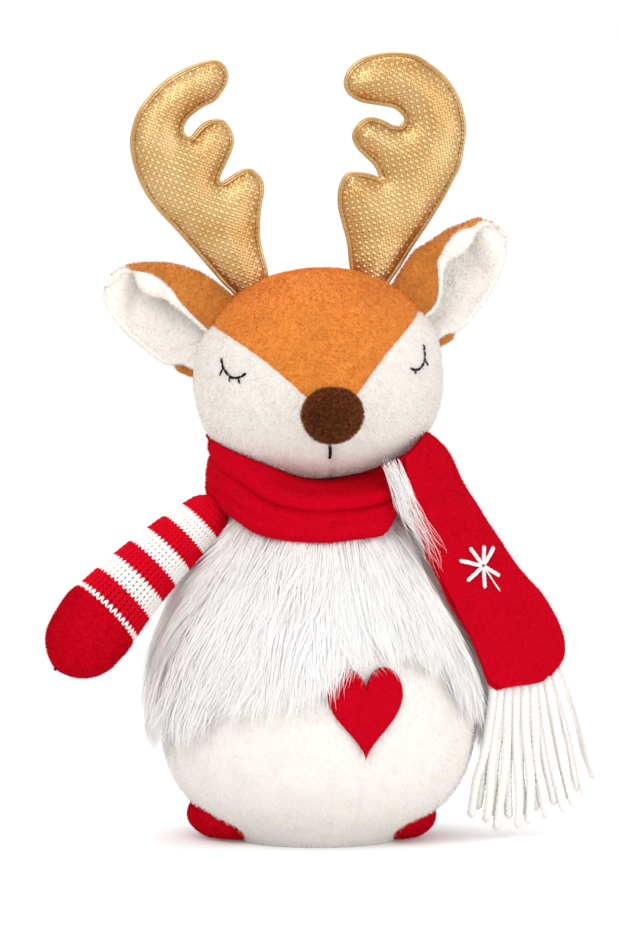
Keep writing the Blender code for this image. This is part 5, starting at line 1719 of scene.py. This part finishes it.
YARN_R = 2.5
FRINGE_TOPS = [
    (84.2, -30.0, 80.9), (88.0, -27.6, 79.1), (92.3, -25.2, 78.3), (97.1, -22.8, 78.5),
    (101.9, -20.4, 78.6), (106.2, -18.0, 79.3), (110.5, -15.6, 80.5), (114.3, -13.2, 82.7),
    (117.5, -10.8, 85.4), (120.3, -8.4, 88.7),
]
FRINGE_ENDS = [
    (73.7, -24.0, 11.7), (81.0, -22.0, 8.8), (89.8, -20.0, 4.4), (98.6, -18.0, 5.1),
    (105.4, -16.0, 6.8), (112.2, -14.0, 9.0), (122.5, -12.0, 11.7), (128.2, -10.0, 14.5),
    (135.5, -8.0, 18.7), (141.3, -6.0, 27.0),
]


def fringe_paths(rng):
    """The middle line of each strand: a front row, and a shorter row behind it between the first."""
    tops, ends = np.array(FRINGE_TOPS), np.array(FRINGE_ENDS)
    tops = tops + (tops.mean(0) - tops) * 0.07 + [0.0, 2.0, 2.0]
    tops[6:] += [-1.8, 2.5, 3.0]
    between = (tops[1:] + tops[:-1]) / 2 + [0.0, 1.8, 0.0], (ends[1:] + ends[:-1]) / 2 + [0.0, 3.6, 5.0]
    pairs = [*zip(tops, ends), *zip(*between)]
    t = np.linspace(0.0, 1.0, 54)[:, None]
    paths = []
    for k, (start, end) in enumerate(pairs):
        power = 1.5 - 0.8 * (k % len(tops)) / len(tops)
        fan = np.concatenate([t**power, t, t - 0.02 * np.sin(math.pi * t)], 1)
        sway = np.sin(t * rng.uniform(4.0, 7.5) + rng.uniform(0, 6.3)) * t
        aside = np.array([rng.uniform(0.9, 1.9), rng.uniform(-0.6, 0.6), 0.0])
        path = start + (end - start) * fan + sway * aside
        wall = body_radius(np.clip(path[:, 2], 4.0, 186.0)) + 7.5
        reach = np.hypot(path[:, 0], path[:, 1])
        path[:, :2] *= (np.maximum(reach, wall) / reach)[:, None]
        paths.append(path)
    return paths


def make_fringe():
    """Plied yarn sewn in under the scarf's hem: the strands hang, fan out a little and are cut off."""
    rng = np.random.default_rng(SEED + 60)
    paths = fringe_paths(rng)
    parts = []
    for path in paths:
        grown = 0.45 + 0.55 * np.clip(np.linspace(0.0, 1.0, len(path)) / 0.07, 0.0, 1.0)
        size = YARN_R * grown * rng.uniform(0.92, 1.06)
        parts.append(capped(tube_mesh(path, size, 18, 3, 0.25, 0.85, rng.uniform(0, 6.3), rounded=True)))
    fringe = add_mesh("fringe_yarn", *quads_to_triangles(merged(parts)), yarn_white)
    finish_piece(fringe, "fringe", "white_yarn", "scarf_fringe")
    roots, tips = [], []
    for path in paths:
        count = 260
        at = rng.uniform(3.0, len(path) - 1, count)
        low = np.floor(at).astype(int)
        place = path[low] + (path[np.minimum(low + 1, len(path) - 1)] - path[low]) * (at - low)[:, None]
        away = unit(rng.normal(size=(count, 3)))
        roots.append(place + away * YARN_R * 0.75)
        tips.append(place + away * (YARN_R + rng.uniform(0.3, 1.1, (count, 1))))
    roots, tips = np.vstack(roots), np.vstack(tips)
    halo = blades("fringe_halo", roots, tips, (roots + tips) / 2, 0.16, yarn_white)
    finish_piece(halo, "fringe", "white_yarn")


TUFT = [  # the middle line of the pile that hangs out between the scarf's turn and its end
    (31.4, -46, 193.6), (35.2, -50, 183.4), (39.0, -52, 171.9), (45.0, -52, 160.2),
    (51.2, -51, 148.4), (56.4, -50, 135.6),
]
TUFT_HAIRS = 150
TUFT_STEPS = 16


def make_tuft():
    line = even_line(TUFT, TUFT_STEPS)
    rng = np.random.default_rng(SEED + 70)
    start = rng.uniform(0.0, 0.2, TUFT_HAIRS)[:, None] ** 1.5
    end = 0.34 + 0.66 * rng.uniform(0.0, 1.0, TUFT_HAIRS)[:, None] ** 2.0
    reach = start + (end - start) * np.linspace(0.0, 1.0, TUFT_STEPS)[None, :]
    at = np.linspace(0.0, 1.0, TUFT_STEPS)
    paths = np.stack([np.interp(reach, at, line[:, k]) for k in range(3)], -1)
    thick = np.interp(reach, [0.0, 0.25, 0.5, 0.75, 1.0], [2.7, 2.9, 3.0, 3.1, 3.0])[..., None]
    spread = np.clip(rng.normal(size=(TUFT_HAIRS, 1, 3)), -1.6, 1.6) * np.array([1.0, 0.6, 0.6])
    stray = rng.normal(size=(TUFT_HAIRS, 1, 1)) * np.array([1.0, 0.1, 0.4])
    curl = rng.uniform(5.0, 17.0, (TUFT_HAIRS, 1))
    bend = np.sin(reach * curl + rng.uniform(0, 6.3, (TUFT_HAIRS, 1)))[..., None]
    loose = reach[..., None]
    paths = paths + spread * thick + stray * 3.0 * loose**1.5 + bend * np.array([1.7, 0.0, 0.9]) * loose**0.6
    tuft = ribbon_mesh("fur_tuft", paths, 0.26 * rng.uniform(0.7, 1.2, TUFT_HAIRS), fur_fibre, WORLD)
    finish_piece(tuft, "torso", "long_pile")


make_body()
finish_base()
make_heart()
make_feet()
make_sleeves()
make_mittens()
make_ears()
make_antlers()
make_wrap()
TAIL = make_tail()
make_snowflake(TAIL)
make_fringe()
make_tuft()
make_fur_backing()
make_fur(cells_near(TAIL))
make_head()
FACE = head_tree()
make_nose()
make_face(FACE)

# Camera, lights, floor

PURE_WHITE = (1.0, 1.0, 1.0, 1.0)


def make_camera():
    back = Vector(about_axis(AZIMUTH, math.cos(ELEVATION), math.sin(ELEVATION)))
    right = Vector((math.cos(AZIMUTH), math.sin(AZIMUTH), 0.0))
    up = back.cross(right)
    data = bpy.data.cameras.new("camera")
    data.sensor_width = 36.0
    data.lens = data.sensor_width * DISTANCE / FIELD_HEIGHT
    camera = link(bpy.data.objects.new("camera", data))
    camera.location = (right * AIM[0] + up * AIM[1]) * MM + back * DISTANCE
    camera.rotation_mode = "QUATERNION"
    camera.rotation_quaternion = back.to_track_quat("Z", "Y")
    bpy.context.scene.camera = camera


def area_light(name, at, size, power):
    data = bpy.data.lights.new(name, "AREA")
    data.shape = "DISK"
    data.size = size
    data.energy = power
    lamp = link(bpy.data.objects.new(name, data))
    lamp.location = at
    lamp.rotation_mode = "QUATERNION"
    lamp.rotation_quaternion = (Vector(at) - Vector((0.0, 0.0, 0.18))).to_track_quat("Z", "Y")


def make_world():
    """A soft white surround: plain light on the deer, and white wherever the camera sees past it."""
    world = bpy.data.worlds.new("surround")
    bpy.context.scene.world = world
    world.use_nodes = True
    tree = world.node_tree
    ground = tree.nodes["Background"]
    path = tree.nodes.new("ShaderNodeLightPath")
    direct = node(tree, "ShaderNodeMath", operation="MAXIMUM")
    tree.links.new(path.outputs["Is Camera Ray"], direct.inputs[0])
    tree.links.new(path.outputs["Is Glossy Ray"], direct.inputs[1])
    seen = node(tree, "ShaderNodeMath", operation="MAXIMUM")
    tree.links.new(direct.outputs[0], seen.inputs[0])
    tree.links.new(path.outputs["Is Transmission Ray"], seen.inputs[1])
    tree.links.new(mapped(tree, seen.outputs[0], 0.80, 1.0), ground.inputs["Strength"])
    settle(ground, {"Color": PURE_WHITE})


def make_floor():
    size = 30.0
    mesh = bpy.data.meshes.new("floor")
    corners = [(-size, -size, 0), (size, -size, 0), (size, size, 0), (-size, size, 0)]
    mesh.from_pydata(corners, [], [(0, 1, 2, 3)])
    look = {"Base Color": (0.90, 0.90, 0.90, 1.0), "Roughness": 0.8, "Specular IOR Level": 0.1}
    made, tree, shader = new_material("studio_floor", look)
    settle(shader, {"Emission Color": PURE_WHITE})
    path = tree.nodes.new("ShaderNodeLightPath")
    glow = node(tree, "ShaderNodeMath", operation="MULTIPLY")
    glow.inputs[1].default_value = 0.16
    tree.links.new(path.outputs["Is Camera Ray"], glow.inputs[0])
    tree.links.new(glow.outputs[0], shader.inputs["Emission Strength"])
    reach = node(tree, "ShaderNodeVectorMath", operation="LENGTH")
    tree.links.new(object_coordinates(tree), reach.inputs[0])
    fade = mapped(tree, reach.outputs["Value"], 0.0, 1.0, 0.30, 0.75, interpolation_type="SMOOTHSTEP")
    open_floor = tree.nodes.new("ShaderNodeBsdfTransparent")
    mixed = tree.nodes.new("ShaderNodeMixShader")
    tree.links.new(fade, mixed.inputs["Fac"])
    tree.links.new(shader.outputs[0], mixed.inputs[1])
    tree.links.new(open_floor.outputs[0], mixed.inputs[2])
    tree.links.new(mixed.outputs[0], tree.nodes["Material Output"].inputs["Surface"])
    mesh.materials.append(made)
    link(bpy.data.objects.new("floor", mesh))


make_camera()
make_world()
make_floor()
area_light("key", (-0.9, -1.5, 1.5), 1.2, 17.0)
area_light("fill", (1.3, -1.5, 0.40), 1.4, 10.0)
area_light("back", (0.2, 0.7, 1.7), 1.2, 12.0)
bpy.context.scene.view_settings.view_transform = "Standard"
